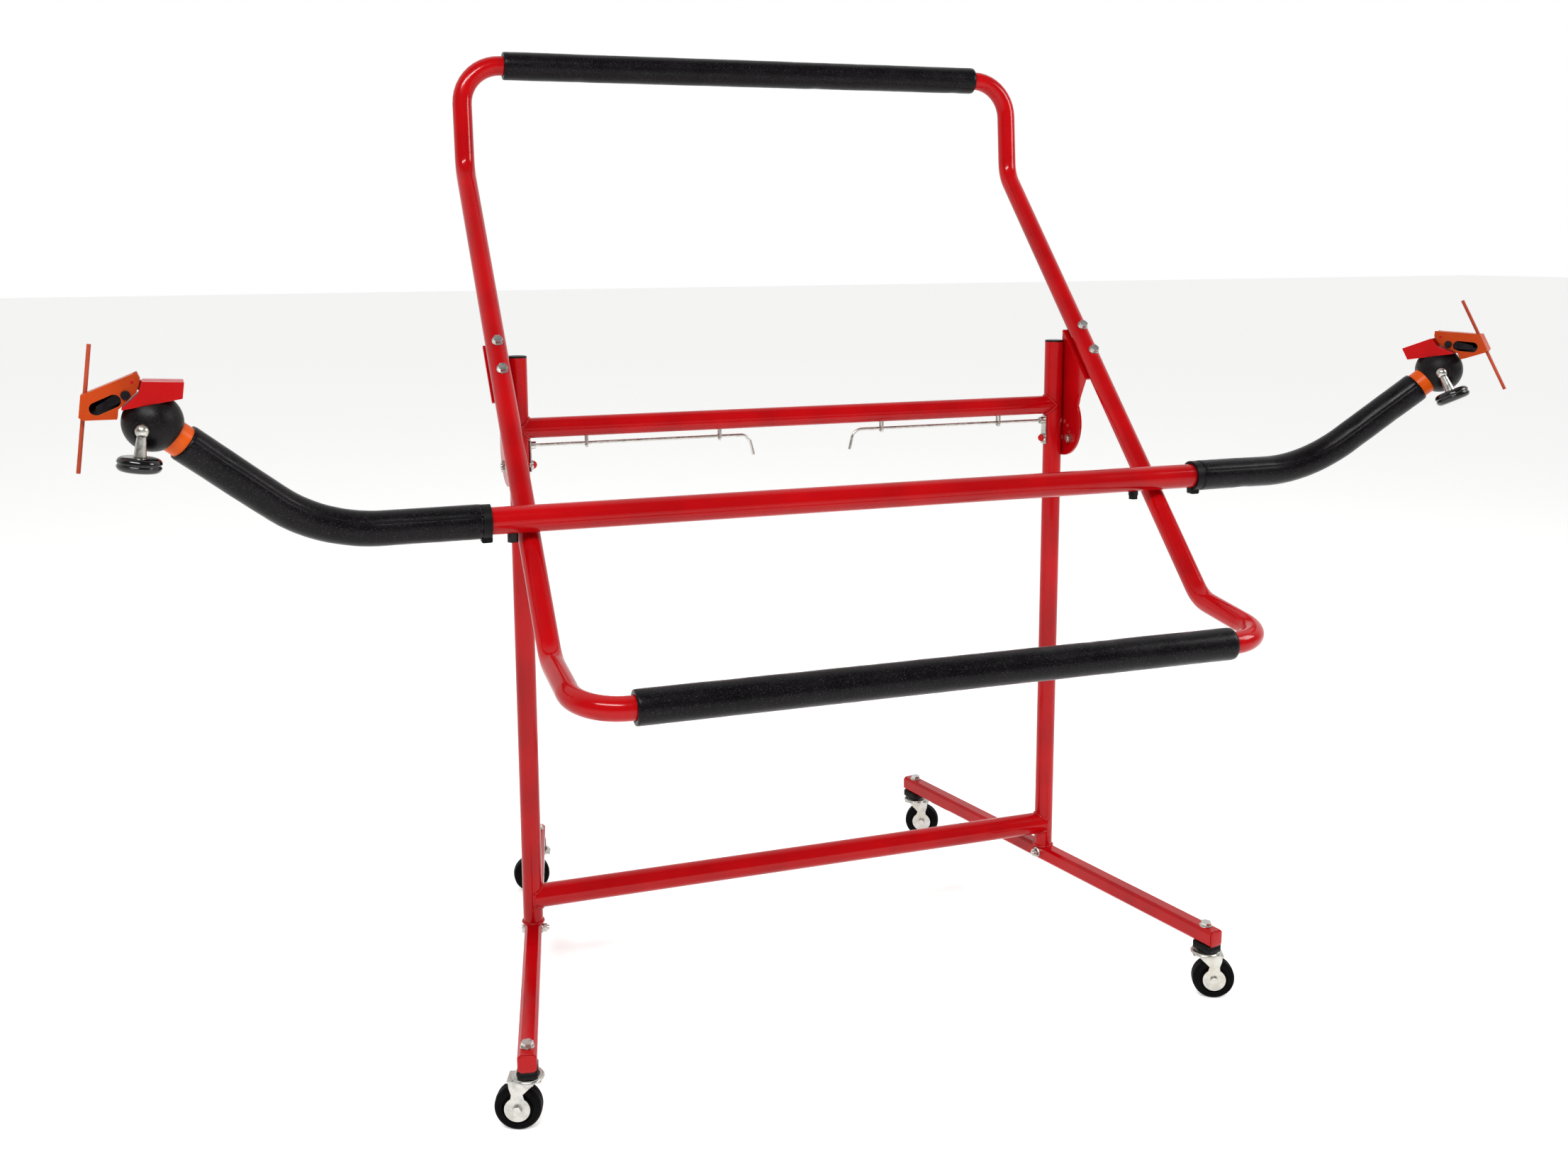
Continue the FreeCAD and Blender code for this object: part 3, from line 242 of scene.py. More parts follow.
def blackFinish(name, look):
    material, tree, shader, where = startMaterial(name, {"IOR": 1.5, "Specular IOR Level": look["shine"]})
    skin = addNode(tree, "ShaderNodeTexNoise", {"Scale": perMm(look["grainMm"]), "Detail": 2.0,
                                                "Roughness": 0.6}, {"Vector": where})
    rounded = addNode(tree, "ShaderNodeBevel", {"samples": bevelSamples, "Radius": look["roundMm"] / 1000})
    flat = addNode(tree, "ShaderNodeNewGeometry")
    turned = addNode(tree, "ShaderNodeVectorMath", {"operation": "DOT_PRODUCT"},
                     {0: rounded.outputs[0], 1: flat.outputs["Normal"]})
    # painted highlight: greyer colour along sharp edges
    edgeHighlightMask = addNode(tree, "ShaderNodeMapRange", {"From Min": 0.97, "From Max": 0.8, "To Max": 0.55},
                    {"Value": turned.outputs["Value"]})
    edgeSheenedBlack = addNode(tree, "ShaderNodeMix",
                     {"data_type": "RGBA", 6: srgb(look["main"]), 7: srgb(look["dustAndEdgeSheen"])},
                     {0: edgeHighlightMask.outputs[0]})
    peaks = addNode(tree, "ShaderNodeMapRange", {"From Min": 0.56, "From Max": 0.72, "To Max": 0.5},
                    {"Value": skin.outputs[0]})
    dusty = addNode(tree, "ShaderNodeMix", {"data_type": "RGBA", 7: srgb(look["dustAndEdgeSheen"])},
                    {0: peaks.outputs[0], 6: edgeSheenedBlack.outputs[2]})
    tree.links.new(dusty.outputs[2], shader.inputs["Base Color"])
    smear = addNode(tree, "ShaderNodeTexNoise", {"Scale": perMm(blackPattern["smearMm"]), "Detail": 4.0},
                    {"Vector": where})
    smearSpan = addNode(tree, "ShaderNodeMapRange",
                        {"From Min": 0.3, "From Max": 0.7,
                         "To Min": look["roughness"] * blackPattern["smoothest"],
                         "To Max": look["roughness"] * blackPattern["roughest"]},
                        {"Value": smear.outputs[0]})
    tree.links.new(smearSpan.outputs[0], shader.inputs["Roughness"])
    bump = addNode(tree, "ShaderNodeBump", {"Strength": 0.5, "Distance": look["depthMm"] / 1000},
                   {"Height": skin.outputs[0], "Normal": rounded.outputs[0]})
    tree.links.new(bump.outputs[0], shader.inputs["Normal"])
    return material


foamRubber = {
    "skin": "0b090b", "deep": "050405", "speck": "423d43", "cloudMm": 60,
    "poreMm": 1.7, "poreDepthMm": 0.22,   # real pores are about 0.5 mm, drawn coarser so that they show
    "swellMm": 14.0, "swellDepthMm": 0.5, "smearMm": 25,
    "roughness": 0.3, "smoothest": 0.75, "roughest": 1.25, "shine": 0.12,
}


def foamFinish(name, look):
    material, tree, shader, where = startMaterial(name, {"IOR": 1.5, "Specular IOR Level": look["shine"]})
    cloud = addNode(tree, "ShaderNodeTexNoise", {"Scale": perMm(look["cloudMm"]), "Detail": 2.0},
                    {"Vector": where})
    cloudSpan = addNode(tree, "ShaderNodeMapRange", {"From Min": 0.35, "From Max": 0.65},
                        {"Value": cloud.outputs[0]})
    body = addNode(tree, "ShaderNodeMix",
                   {"data_type": "RGBA", 6: srgb(look["skin"]), 7: srgb(look["deep"])},
                   {0: cloudSpan.outputs[0]})
    pores = addNode(tree, "ShaderNodeTexNoise", {"Scale": perMm(look["poreMm"]), "Detail": 3.0,
                                                 "Roughness": 0.7}, {"Vector": where})
    lint = addNode(tree, "ShaderNodeMapRange", {"From Min": 0.56, "From Max": 0.72, "To Max": 0.8},
                   {"Value": pores.outputs[0]})
    flecked = addNode(tree, "ShaderNodeMix", {"data_type": "RGBA", 7: srgb(look["speck"])},
                      {0: lint.outputs[0], 6: body.outputs[2]})
    tree.links.new(flecked.outputs[2], shader.inputs["Base Color"])
    smear = addNode(tree, "ShaderNodeTexNoise", {"Scale": perMm(look["smearMm"]), "Detail": 3.0},
                    {"Vector": where})
    smearSpan = addNode(tree, "ShaderNodeMapRange",
                        {"From Min": 0.3, "From Max": 0.7, "To Min": look["roughness"] * look["smoothest"],
                         "To Max": look["roughness"] * look["roughest"]}, {"Value": smear.outputs[0]})
    tree.links.new(smearSpan.outputs[0], shader.inputs["Roughness"])
    swell = addNode(tree, "ShaderNodeTexNoise", {"Scale": perMm(look["swellMm"]), "Detail": 2.0},
                    {"Vector": where})
    soft = addNode(tree, "ShaderNodeBump", {"Strength": 0.25, "Distance": look["swellDepthMm"] / 1000},
                   {"Height": swell.outputs[0]})
    bump = addNode(tree, "ShaderNodeBump", {"Strength": 0.5, "Distance": look["poreDepthMm"] / 1000},
                   {"Height": pores.outputs[0], "Normal": soft.outputs[0]})
    tree.links.new(bump.outputs[0], shader.inputs["Normal"])
    return material


finish = {
    "red_powder_coat": paintFinish("redPolyesterPowderCoatGloss", redPowder),  # deep red, long highlights
    "orange_paint": paintFinish("orangePolyesterPowderCoatSatin", orangePowder),  # warm satin orange
    "copper_paint": paintFinish("copperDipPaintDull", copperPowder),          # dull copper orange
    "red_plastic": paintFinish("redAbsMouldedSatin", redPlastic),             # brighter red, fine skin
    "zinc_steel": metalFinish("zincPlatedSteelBright", zincPlate),            # pale metal, dull patches
    "black_steel": metalFinish("blackOxideSteelOiled", blackenedSteel),       # dark metal, soft glints
    "black_plastic": blackFinish("blackPolypropyleneMoulded", mouldedBlack),  # matt black, greyer edges
    "tyre_rubber": blackFinish("blackTyreRubberMatt", tyreRubber),            # dull black, dusty grain
    "black_foam": foamFinish("nitrileFoamSkinSatin", foamRubber),             # near black, fine flecks
}
castFinish = blackFinish("castIronBlackPaint", castBlack)                     # grainy black casting
jawFinish = paintFinish("orangeEnamelDeepSatin", orangeEnamel)                # darker burnt orange
knobFinish = blackFinish("blackPhenolicPolished", phenolicBlack)              # deep black gloss
specialFinish = {}
for side in sides:
    specialFinish["swivel_block_" + side] = castFinish
    specialFinish["clamp_knob_" + side] = knobFinish
    specialFinish["jaw_" + side] = jawFinish
for name, piece in nodes.items():
    for place in piece.material_slots:
        place.material = specialFinish.get(name, finish[place.material.name])
print("stage: finishes on the CAD nodes")


def addPiece(name, points, faces, body, slotName):
    mesh = bpy.data.meshes.new(name)
    mesh.from_pydata(points, [], faces)
    shape = bmesh.new()
    shape.from_mesh(mesh)
    bmesh.ops.recalc_face_normals(shape, faces=shape.faces)
    shape.to_mesh(mesh)
    shape.free()
    mesh.polygons.foreach_set("use_smooth", [True] * len(mesh.polygons))
    mesh.materials.append(finish[slotName])
    piece = bpy.data.objects.new(name, mesh)
    bpy.context.scene.collection.objects.link(piece)
    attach(piece, body)
    return piece


def joinRings(rings, closedLong, slip=0):
    # slip: how many points the last ring is turned against the first one
    count = len(rings[0])
    points = [p for one in rings for p in one]
    faces = []
    for i in range(len(rings) if closedLong else len(rings) - 1):
        a, b = i * count, ((i + 1) % len(rings)) * count
        turn = slip if i == len(rings) - 1 else 0
        for j in range(count):
            k = (j + 1) % count
            faces.append((a + j, a + k, b + (k + turn) % count, b + (j + turn) % count))
    return points, faces


def tubeSize(name, axis):
    # middle of a straight tube, and its radius read along "x" or "z"
    low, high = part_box(name)
    return (low + high) / 2, (getattr(high, axis) - getattr(low, axis)) / 2


def jointNamed(name):
    return next(j for j in frame["joints"] if j["name"] == name)


pinch = 0.02                              # an outline shrunk to this share closes the end of a piece
stand = {"leanDeg": 44.0, "splayDeg": 11.6}   # the tilting frame at rest, each leg from straight ahead

sleeve = {
    "stepMm": 4.0, "around": 64, "boreMm": 16.0, "boreEvery": 6,
    "edgeRoundMm": 1.6, "edgeShare": 0.3, "lipMm": 0.4,
    "lumpHighMm": 0.35, "lumpSizeMm": 55, "rippleHighMm": 0.12, "rippleSizeMm": 11,
    "seamDepthMm": 1.5, "seamWidthMm": 2.0, "seamWanderMm": 0.4, "seamWandersPerM": 12, "seamRow": 3.1,
    "seamGapDeg": 12, "seamCutsMm": (-2.8, -1.8, -1.1, -0.55, 0, 0.55, 1.1, 1.8, 2.8),
    "dents": 7, "dentDepthMm": 0.7, "dentSizeMm": 11.0, "dentFreeSteps": 8, "dentReach": 6,
}


def sleeveAngles(seamRad, radius):
    # even steps round the sleeve, then closer ones across the seam
    gap = math.radians(sleeve["seamGapDeg"])
    step = (2 * math.pi - 2 * gap) / (sleeve["around"] - 1)
    around = [seamRad + gap + i * step for i in range(sleeve["around"])]
    return around + [seamRad + 2 * math.pi + mm / 1000 / radius for mm in sleeve["seamCutsMm"]]


def foamSleeve(name, body, path, radius, seamRad):
    # path: (centre, first normal, second normal) at even steps; the skin is lumpy and has a glued seam
    bore, edge, lip = sleeve["boreMm"] / 1000, sleeve["edgeRoundMm"] / 1000, sleeve["lipMm"] / 1000
    angles = sleeveAngles(seamRad, radius)
    free = sleeve["dentFreeSteps"]
    dents = [(random.randrange(free, len(path) - free), random.uniform(0, 2 * math.pi))
             for _ in range(sleeve["dents"])]
    step = (path[1][0] - path[0][0]).length

    def skin(index, angle):
        centre, first, second = path[index]
        turn = first * math.cos(angle) + second * math.sin(angle)
        spot = centre + turn * radius
        out = radius + noise.noise(spot * perMm(sleeve["lumpSizeMm"])) * sleeve["lumpHighMm"] / 1000
        out += noise.noise(spot * perMm(sleeve["rippleSizeMm"])) * sleeve["rippleHighMm"] / 1000
        off = math.remainder(angle - seamRad, 2 * math.pi) * radius * 1000
        seamSpot = Vector((index * step * sleeve["seamWandersPerM"], sleeve["seamRow"], 0))
        wander = sleeve["seamWanderMm"] * noise.noise(seamSpot)
        out -= sleeve["seamDepthMm"] / 1000 * math.exp(-((off - wander) / (sleeve["seamWidthMm"] / 2)) ** 2)
        for place, dentRad in dents:
            along = (index - place) * step * 1000
            across = math.remainder(angle - dentRad, 2 * math.pi) * radius * 1000
            far = (along ** 2 + across ** 2) / sleeve["dentSizeMm"] ** 2
            if far < sleeve["dentReach"]:
                out -= sleeve["dentDepthMm"] / 1000 * math.exp(-far)
        return turn, out

    def ringAt(index, shrink, forward):
        centre, first, second = path[index]
        ahead = first.cross(second) * forward
        points = []
        for angle in angles:
            turn, out = skin(index, angle)
            points.append(centre + turn * (out - shrink) + ahead)
        return points

    def boreAt(index):
        centre, first, second = path[index]
        return [centre + (first * math.cos(a) + second * math.sin(a)) * bore for a in angles]

    direction = 1.0 if (path[1][0] - path[0][0]).dot(path[0][1].cross(path[0][2])) > 0 else -1.0
    inner, rounding, every = radius - bore - edge * 2, edge * sleeve["edgeShare"], sleeve["boreEvery"]
    rings = [boreAt(0), ringAt(0, inner, -lip * direction), ringAt(0, edge, 0.0)]
    rings.append(ringAt(0, rounding, rounding * direction))
    rings += [ringAt(i, 0.0, 0.0) for i in range(1, len(path) - 1)]
    rings.append(ringAt(-1, rounding, -rounding * direction))
    rings += [ringAt(-1, edge, 0.0), ringAt(-1, inner, lip * direction), boreAt(-1)]
    rings += [boreAt(i) for i in range(len(path) - every, every - 1, -every)]
    points, faces = joinRings(rings, True)
    piece = addPiece(name + "Foam", points, faces, body, "black_foam")
    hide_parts(name)


def padPath(name):
    low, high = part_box(name)
    middle = (low + high) / 2
    count = int((high.x - low.x) * 1000 / sleeve["stepMm"])
    spots = [Vector((low.x + (high.x - low.x) * i / count, middle.y, middle.z)) for i in range(count + 1)]
    return [(spot, Vector((0, 0, 1)), Vector((0, -1, 0))) for spot in spots]


armShape = {"straightMm": 130.0, "bendRadiusMm": 200.0, "bendDeg": 43.0, "endStraightMm": 140.0,
            "forwardDeg": 25.0, "towardsCollarMm": 1.6}


def armPath(side, s):
    # straight out of the mid bar, one round bend, then straight to the clamp head
    low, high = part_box("arm_foam_" + side)
    bar = tubeSize("mid_bar", "z")[0]
    lean, bend = math.radians(armShape["forwardDeg"]), math.radians(armShape["bendDeg"])
    outward, up = Vector((s, 0, 0)), Vector((0, -math.sin(lean), math.cos(lean)))
    front = Vector((0, -math.cos(lean), -math.sin(lean)))
    start = Vector((low.x if s > 0 else high.x, bar.y, bar.z))
    start = start - outward * armShape["towardsCollarMm"] / 1000
    straight = (armShape["straightMm"] + armShape["towardsCollarMm"]) / 1000
    radius = armShape["bendRadiusMm"] / 1000
    total = straight + radius * bend + armShape["endStraightMm"] / 1000
    count = int(total * 1000 / sleeve["stepMm"])
    path = []
    for i in range(count + 1):
        run = total * i / count
        turn = min(max((run - straight) / radius, 0), bend)
        centre = start + outward * (min(run, straight) + radius * math.sin(turn))
        centre = centre + up * radius * (1 - math.cos(turn))
        ahead = outward * math.cos(turn) + up * math.sin(turn)
        centre = centre + ahead * max(run - straight - radius * bend, 0)
        path.append((centre, up * math.cos(turn) - outward * math.sin(turn), front))
    return path


foamPieces = {"padRadiusMm": 23.0, "armRadiusMm": 24.0, "padSeamDeg": 215.0, "armSeamDeg": 38.0}
for name in ("top_pad", "bottom_pad"):
    foamSleeve(name, "tilt_frame", padPath(name), foamPieces["padRadiusMm"] / 1000,
               math.radians(foamPieces["padSeamDeg"]))
for side, s in sides.items():
    foamSleeve("arm_foam_" + side, "arm_" + side, armPath(side, s), foamPieces["armRadiusMm"] / 1000,
               math.radians(foamPieces["armSeamDeg"]))
print("stage: foam sleeves made")


weld = {"beadMm": 2.7, "around": 12, "pointStepMm": 0.75, "nearShare": 0.002, "saddleShare": 1.1,
        "rippleStepMm": 3.0, "rippleDepth": 0.2, "rippleRound": 0.7, "leastRipples": 6,
        "wander": 0.1, "wanderSizeMm": 9}


def weldBead(name, body, curve, length, bead=weld["beadMm"]):
    # curve: closed, from 0 to 1; ripples like stacked coins, with a little wander in width
    count = int(length * 1000 / weld["pointStepMm"])
    ripples = max(weld["leastRipples"], round(length * 1000 / weld["rippleStepMm"]))
    near = weld["nearShare"]
    rings = []
    for i in range(count):
        t = i / count
        centre, ahead = curve(t), (curve(t + near) - curve(t - near)).normalized()
        across = lastAcross - ahead * lastAcross.dot(ahead) if rings else ahead.orthogonal()
        across.normalize()
        lastAcross = across
        other = ahead.cross(across)
        ripple = math.sin(math.pi * ((t * ripples) % 1.0)) ** weld["rippleRound"]
        size = bead / 1000 * (1 - weld["rippleDepth"] * (1 - ripple))
        size *= 1 + weld["wander"] * noise.noise(centre * perMm(weld["wanderSizeMm"]))
        rings.append([centre + (across * math.cos(a) + other * math.sin(a)) * size
                      for a in [2 * math.pi * k / weld["around"] for k in range(weld["around"])]])
    slip = min(range(weld["around"]), key=lambda k: (rings[-1][0] - rings[0][k]).length)
    points, faces = joinRings(rings, True, slip)
    addPiece(name, points, faces, body, "red_powder_coat")


def crossbarWelds(name):
    # saddle-shaped bead where each end of the bar meets its upright
    middle, barRadius = tubeSize(name, "z")
    upMiddle, upRadius = tubeSize("upright_right", "x")
    for side, s in sides.items():
        def curve(t):
            y, z = barRadius * math.cos(2 * math.pi * t), barRadius * math.sin(2 * math.pi * t)
            reach = math.sqrt(max(upRadius ** 2 - y ** 2, 0.0))
            y = min(max(y, -upRadius), upRadius)
            return Vector((s * (upMiddle.x - reach), middle.y + y, middle.z + z))
        weldBead("weld." + name + "." + side, "base", curve, 2 * math.pi * barRadius * weld["saddleShare"])


def footWelds():
    for side in sides:
        upMiddle, radius = tubeSize("upright_" + side, "x")
        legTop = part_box("leg_" + side)[1].z

        def curve(t):
            x, y = radius * math.cos(2 * math.pi * t), radius * math.sin(2 * math.pi * t)
            return Vector((upMiddle.x + x, upMiddle.y + y, legTop))
        weldBead("weld.foot." + side, "base", curve, 2 * math.pi * radius)


midWeld = {"wideMm": 9.8, "longMm": 8.6, "aroundMm": 58.5, "beadMm": 3.3, "sinkMm": 0.5, "sideTubeMm": 15.9}


def midBarWelds():
    # oval bead in the crevice where the mid bar crosses each side tube
    middle, barRadius = tubeSize("mid_bar", "z")
    hoopLow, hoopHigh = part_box("upper_hoop")
    lean = math.radians(stand["leanDeg"])
    along, out = Vector((0, math.sin(lean), math.cos(lean))), Vector((0, -math.cos(lean), math.sin(lean)))
    for side, s in sides.items():
        across = s * ((hoopHigh.x if s > 0 else -hoopLow.x) - midWeld["sideTubeMm"] / 1000)
        centre = Vector((across, middle.y, middle.z)) - out * (barRadius - midWeld["sinkMm"] / 1000)

        def curve(t):
            turn = 2 * math.pi * t
            return (centre + Vector((math.cos(turn) * midWeld["wideMm"] / 1000, 0, 0))
                    + along * math.sin(turn) * midWeld["longMm"] / 1000)
        weldBead("weld.midBar." + side, "tilt_frame", curve, midWeld["aroundMm"] / 1000, midWeld["beadMm"])


crossbarWelds("upper_crossbar")
crossbarWelds("lower_crossbar")
footWelds()
midBarWelds()
print("stage: welds laid")


casterTrim = {
    "around": 72,
    "lineMm": 0.35, "lineHalfMm": 0.5, "lineSinkMm": 0.4, "lineShoulder": 0.7,
    "wallMm": 11.0, "ribMm": 28.5,        # the tyre's wall from its middle, and the rib's ring on it
    "ribShape": ((-0.5, -2.2), (0.3, -1.4), (0.45, -0.6), (0.2, 0.5), (-0.9, 1.4)),
    "raceShape": ((-4.2, 20.6), (-4.2, 22.6), (-2.6, 22.9), (-1.4, 22.0), (0.3, 18.6), (0.5, 13.5),
                  (-0.4, 13.2), (-3.8, 20.0)),
}


def lathe(name, body, slotName, centre, axis, profile):
    # profile: (distance along the axis, radius) in millimetres, closed on itself
    first = axis.orthogonal().normalized()
    second = axis.cross(first)
    rings = []
    for i in range(casterTrim["around"]):
        turn = 2 * math.pi * i / casterTrim["around"]
        spoke = first * math.cos(turn) + second * math.sin(turn)
        rings.append([centre + axis * along / 1000 + spoke * radius / 1000 for along, radius in profile])
    points, faces = joinRings(rings, True)
    addPiece(name, points, faces, body, slotName)


def casterPieces(name):
    tyre = tubeSize("caster_wheel_" + name, "z")[1] * 1000
    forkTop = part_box("caster_fork_" + name)[1].z
    spin, swivel = jointNamed("wheel_spin_" + name), jointNamed("caster_swivel_" + name)
    axle, hub = Vector(spin["axis"]).normalized(), Vector(spin["pos_m"])
    stem = Vector((swivel["pos_m"][0], swivel["pos_m"][1], forkTop))
    half, foot, top = casterTrim["lineHalfMm"], tyre - casterTrim["lineSinkMm"], tyre + casterTrim["lineMm"]
    shoulder = tyre + casterTrim["lineMm"] * casterTrim["lineShoulder"]
    lathe("tyreLine." + name, "wheel_" + name, "tyre_rubber", hub, axle,    # moulding line round the tread
          [(-half, foot), (-half / 2, shoulder), (0, top), (half / 2, shoulder), (half, foot)])
    for way, wall in ((-1, ".inner"), (1, ".outer")):                       # raised rib on each wall
        rib = [(way * (casterTrim["wallMm"] + out), casterTrim["ribMm"] + up)
               for out, up in casterTrim["ribShape"]]
        lathe("tyreRib." + name + wall, "wheel_" + name, "tyre_rubber", hub, axle, rib)
    lathe("raceCup." + name, "caster_" + name, "zinc_steel", stem, Vector((0, 0, 1)),
          casterTrim["raceShape"])                                          # pressed cup over the race


for name in ("front_left", "front_right", "rear_left", "rear_right"):
    casterPieces(name)
print("stage: caster trim made")


def legLine(side, s):
    # middle of a leg under its upright, its direction to the front, and half its height
    low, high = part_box("leg_" + side)
    upMiddle = tubeSize("upright_" + side, "x")[0]
    splay = math.radians(stand["splayDeg"])
    middle = Vector((upMiddle.x, upMiddle.y, (low.z + high.z) / 2))
    return middle, Vector((s * math.sin(splay), -math.cos(splay), 0)), (high.z - low.z) / 2


thread = {"pitchMm": 1.25, "depthMm": 0.495, "overMm": 0.12, "around": 28, "stepMm": 0.16,
          "tipMm": 0.7, "tipSlope": 0.8, "capMm": 0.1, "capShare": 0.55,
          "startMm": 8.4, "longMm": 3.7, "radiusMm": 4.0}


def threadedEnd(name, body, slotName, start, direction, length, radius):
    # screw thread on a bolt's bare end, as one helical skin with a rounded tip
    first = direction.orthogonal().normalized()
    second = direction.cross(first)
    count = int(length / thread["stepMm"])
    rings = []
    for i in range(count + 1):
        along = length * i / count
        points = []
        for k in range(thread["around"]):
            turn = 2 * math.pi * k / thread["around"]
            phase = (along / thread["pitchMm"] + k / thread["around"]) % 1.0
            ridge = abs(phase - 0.5) * 2
            size = radius + thread["overMm"] - thread["depthMm"] * (1 - ridge)
            size -= max(0.0, along - length + thread["tipMm"]) * thread["tipSlope"]
            points.append(start + direction * along / 1000
                          + (first * math.cos(turn) + second * math.sin(turn)) * size / 1000)
        rings.append(points)
    tip = start + direction * length / 1000
    cap = start + direction * (length + thread["capMm"]) / 1000
    for share in (thread["capShare"], pinch):
        rings.append([cap + (p - tip) * share for p in rings[count]])
    points, faces = joinRings(rings, False)
    addPiece(name, points, faces, body, slotName)


for side, s in sides.items():
    middle, ahead, half = legLine(side, s)
    inward = Vector((ahead.y * s, -ahead.x * s, 0))
    start = middle + inward * (half + thread["startMm"] / 1000)
    threadedEnd("thread.foot." + side, "base", "zinc_steel", start, inward, thread["longMm"],
                thread["radiusMm"])
print("stage: threads cut")

legTrim = {                               # crown, blockFoot: share of the outline, millimetres off the face
    "endMm": 414.0, "plugMm": 24.0, "plugCornerMm": 4.0, "plugSteps": 4, "plugSinkMm": 0.3, "thickMm": 2.0,
    "crownMm": 0.4, "crown": ((1.0, -0.8), (0.96, -0.25), (0.88, 0.0), (0.5, 0.35)),
    "blockHighMm": 11.6, "blockLongMm": 37.0, "blockWideMm": 28.6, "blockCornerMm": 4.0, "blockSteps": 5,
    "blockPastMm": 0.2, "blockGapMm": 0.1, "blockFoot": ((0.93, 0.0), (0.98, 0.6), (1.0, 1.6)),
}


def roundedOutline(long, wide, corner, steps):
    # rectangle with round corners, centred on nought
    points = []
    for i in range(4):
        x, y = (1, 1, -1, -1)[i] * (long / 2 - corner), (-1, 1, 1, -1)[i] * (wide / 2 - corner)
        for k in range(steps + 1):
            turn = math.radians(-90 + 90 * i + 90 * k / steps)
            points.append((x + corner * math.cos(turn), y + corner * math.sin(turn)))
    return points


def stackOutline(name, slotName, centre, axes, outline, layers):
    # the outline drawn at several heights, each with its own size, to make a closed piece
    first, second, third = axes
    rings = [[centre + (first * a * size + second * b * size + third * out) / 1000 for a, b in outline]
             for size, out in layers]
    points, faces = joinRings(rings, False)
    addPiece(name, points, faces, "base", slotName)


def legEnds():
    # painted plug over each end of the legs, and a black block under it around the caster's bush
    up = Vector((0, 0, 1))
    plug, thick, sink = legTrim["plugMm"], legTrim["thickMm"], legTrim["plugSinkMm"]
    long, wide = legTrim["blockLongMm"], legTrim["blockWideMm"]
    high, gap = legTrim["blockHighMm"], legTrim["blockGapMm"]
    plugOutline = roundedOutline(plug, plug, legTrim["plugCornerMm"], legTrim["plugSteps"])
    plugLayers = [(pinch, -sink), (1.0, -sink)] + [(size, thick + out) for size, out in legTrim["crown"]]
    plugLayers.append((pinch, thick + legTrim["crownMm"]))
    blockOutline = roundedOutline(long, wide, legTrim["blockCornerMm"], legTrim["blockSteps"])
    blockLayers = [(pinch, -high)] + [(size, out - high) for size, out in legTrim["blockFoot"]]
    blockLayers += [(1.0, -gap), (pinch, -gap)]
    for side, s in sides.items():
        middle, forward, half = legLine(side, s)
        for endName, way in (("front", 1.0), ("rear", -1.0)):
            ahead = forward * way
            across = Vector((-ahead.y, ahead.x, 0))
            end = middle + ahead * legTrim["endMm"] / 1000
            under = end - up * half - ahead * (long / 2 - legTrim["blockPastMm"]) / 1000
            stackOutline("legPlug." + endName + "." + side, "red_powder_coat", end, (across, up, ahead),
                         plugOutline, plugLayers)
            stackOutline("bushBlock." + endName + "." + side, "black_plastic", under, (ahead, across, up),
                         blockOutline, blockLayers)


legEnds()
print("stage: leg ends fitted")

# painted shadow: a dark sheet that darkens the jaw's oval opening
shadowSheet = {"pinMm": (27, 47), "outMm": 8.85, "thickMm": 0.1, "nearMm": (45.0, 22.5), "farMm": (63.5, 11.5),
         "coverMm": 9.6, "steps": 12}     # pinMm: the jaw's hinge pin, out and up from the block's centre


def jawShadowSheets():
    # painted shadow: dark sheet inside the jaw's rear cheek, behind its oval opening, standing in for the shade
    # seen through it
    near, far = Vector(shadowSheet["nearMm"]), Vector(shadowSheet["farMm"])
    slant = (far - near).normalized()
    turned = Vector((-slant.y, slant.x))
    outline = []
    for end, startDeg in ((near, 90), (far, -90)):
        for k in range(shadowSheet["steps"] + 1):
            turn = math.radians(startDeg + 180 * k / shadowSheet["steps"])
            outline.append(end + (slant * math.cos(turn) + turned * math.sin(turn)) * shadowSheet["coverMm"])
    middle = (near + far) / 2
    for side, s in sides.items():
        hinge = jointNamed("jaw_open_" + side)
        sideways = -Vector(hinge["axis"]).normalized()
        rise = Vector(jointNamed("cross_rod_slide_" + side)["axis"]).normalized()
        outward = sideways.cross(rise)
        centre = Vector(hinge["pos_m"]) - (outward * shadowSheet["pinMm"][0] + rise * shadowSheet["pinMm"][1]) / 1000
        rings = []
        for size, out in ((pinch, 0), (1.0, 0), (1.0, shadowSheet["thickMm"]), (pinch, shadowSheet["thickMm"])):
            back = s * (shadowSheet["outMm"] + out)
            spots = [middle + (p - middle) * size for p in outline]
            rings.append([centre + (outward * p.x + rise * p.y + sideways * back) / 1000 for p in spots])
        points, faces = joinRings(rings, False)
        addPiece("jawShadowSheet." + side, points, faces, "jaw_" + side, "black_steel")


jawShadowSheets()
print("stage: jaw shadow sheets fitted")


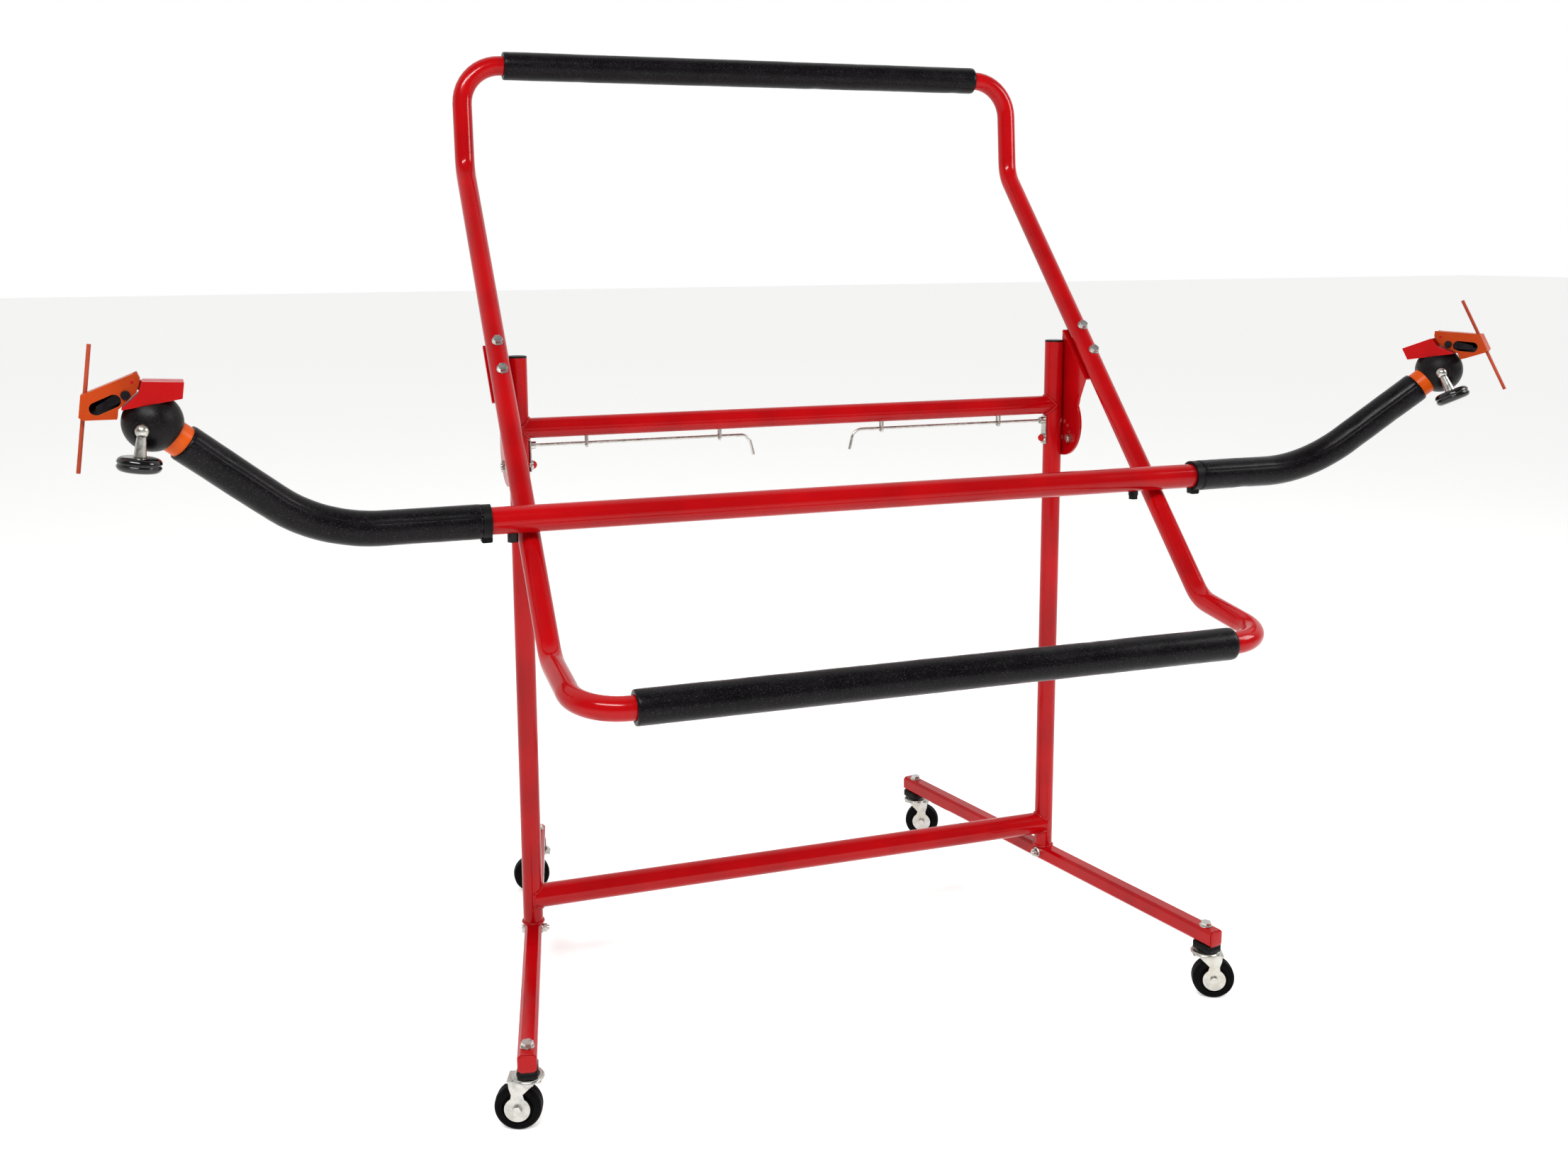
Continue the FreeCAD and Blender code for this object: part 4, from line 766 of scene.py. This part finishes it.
studio = {"floor": "fbfbfa", "floorRough": 0.9, "glow": 0.36, "reach": 40.0,
          "air": "ffffff", "airBack": 1.0, "airFront": 0.18, "aim": (0, 0, 0.8),
          "key": {"place": (-1.6, -2.6, 3.6), "size": (2.6, 0.4), "power": 150},
          "fill": {"place": (2.8, -1.4, 2.4), "size": (1.2, 1.2), "power": 55}}


def areaLight(name, values):
    light = bpy.data.lights.new(name, "AREA")
    light.shape = "RECTANGLE"
    light.size, light.size_y = values["size"]
    light.energy = values["power"]
    lamp = bpy.data.objects.new(name, light)
    lamp.location = values["place"]
    towards = Vector(studio["aim"]) - Vector(values["place"])
    lamp.rotation_euler = towards.to_track_quat("-Z", "Y").to_euler()
    bpy.context.scene.collection.objects.link(lamp)


def makeStudio():
    mesh = bpy.data.meshes.new("studioFloor")
    reach = studio["reach"]
    mesh.from_pydata([(-reach, -reach, 0), (reach, -reach, 0), (reach, reach, 0), (-reach, reach, 0)],
                     [], [(0, 1, 2, 3)])
    floor = bpy.data.objects.new("studioFloor", mesh)
    bpy.context.scene.collection.objects.link(floor)
    glowing = {"Base Color": srgb(studio["floor"]), "Roughness": studio["floorRough"],
               "Emission Color": srgb(studio["floor"]), "Emission Strength": studio["glow"]}
    material = startMaterial("paleAcrylicFloorMatt", glowing)[0]            # even white, faintly lit from below
    mesh.materials.append(material)
    world = bpy.data.worlds.new("studioAir")
    world.use_nodes = True
    tree, back = world.node_tree, world.node_tree.nodes["Background"]
    back.inputs["Color"].default_value = srgb(studio["air"])
    sky = addNode(tree, "ShaderNodeTexCoord")                # bright wall behind, dimmer room in front
    split = addNode(tree, "ShaderNodeSeparateXYZ", links={0: sky.outputs["Generated"]})
    fade = addNode(tree, "ShaderNodeMapRange",
                   {"interpolation_type": "SMOOTHSTEP", "From Min": -0.2, "From Max": 0.35,
                    "To Min": studio["airFront"], "To Max": studio["airBack"]},
                   {"Value": split.outputs["Y"]})
    tree.links.new(fade.outputs[0], back.inputs["Strength"])
    bpy.context.scene.world = world
    bpy.context.scene.view_settings.view_transform = "Standard"
    bpy.context.scene.view_settings.look = "None"
    areaLight("keyPanel", studio["key"])
    areaLight("fillPanel", studio["fill"])


makeStudio()
print("stage: studio ready")
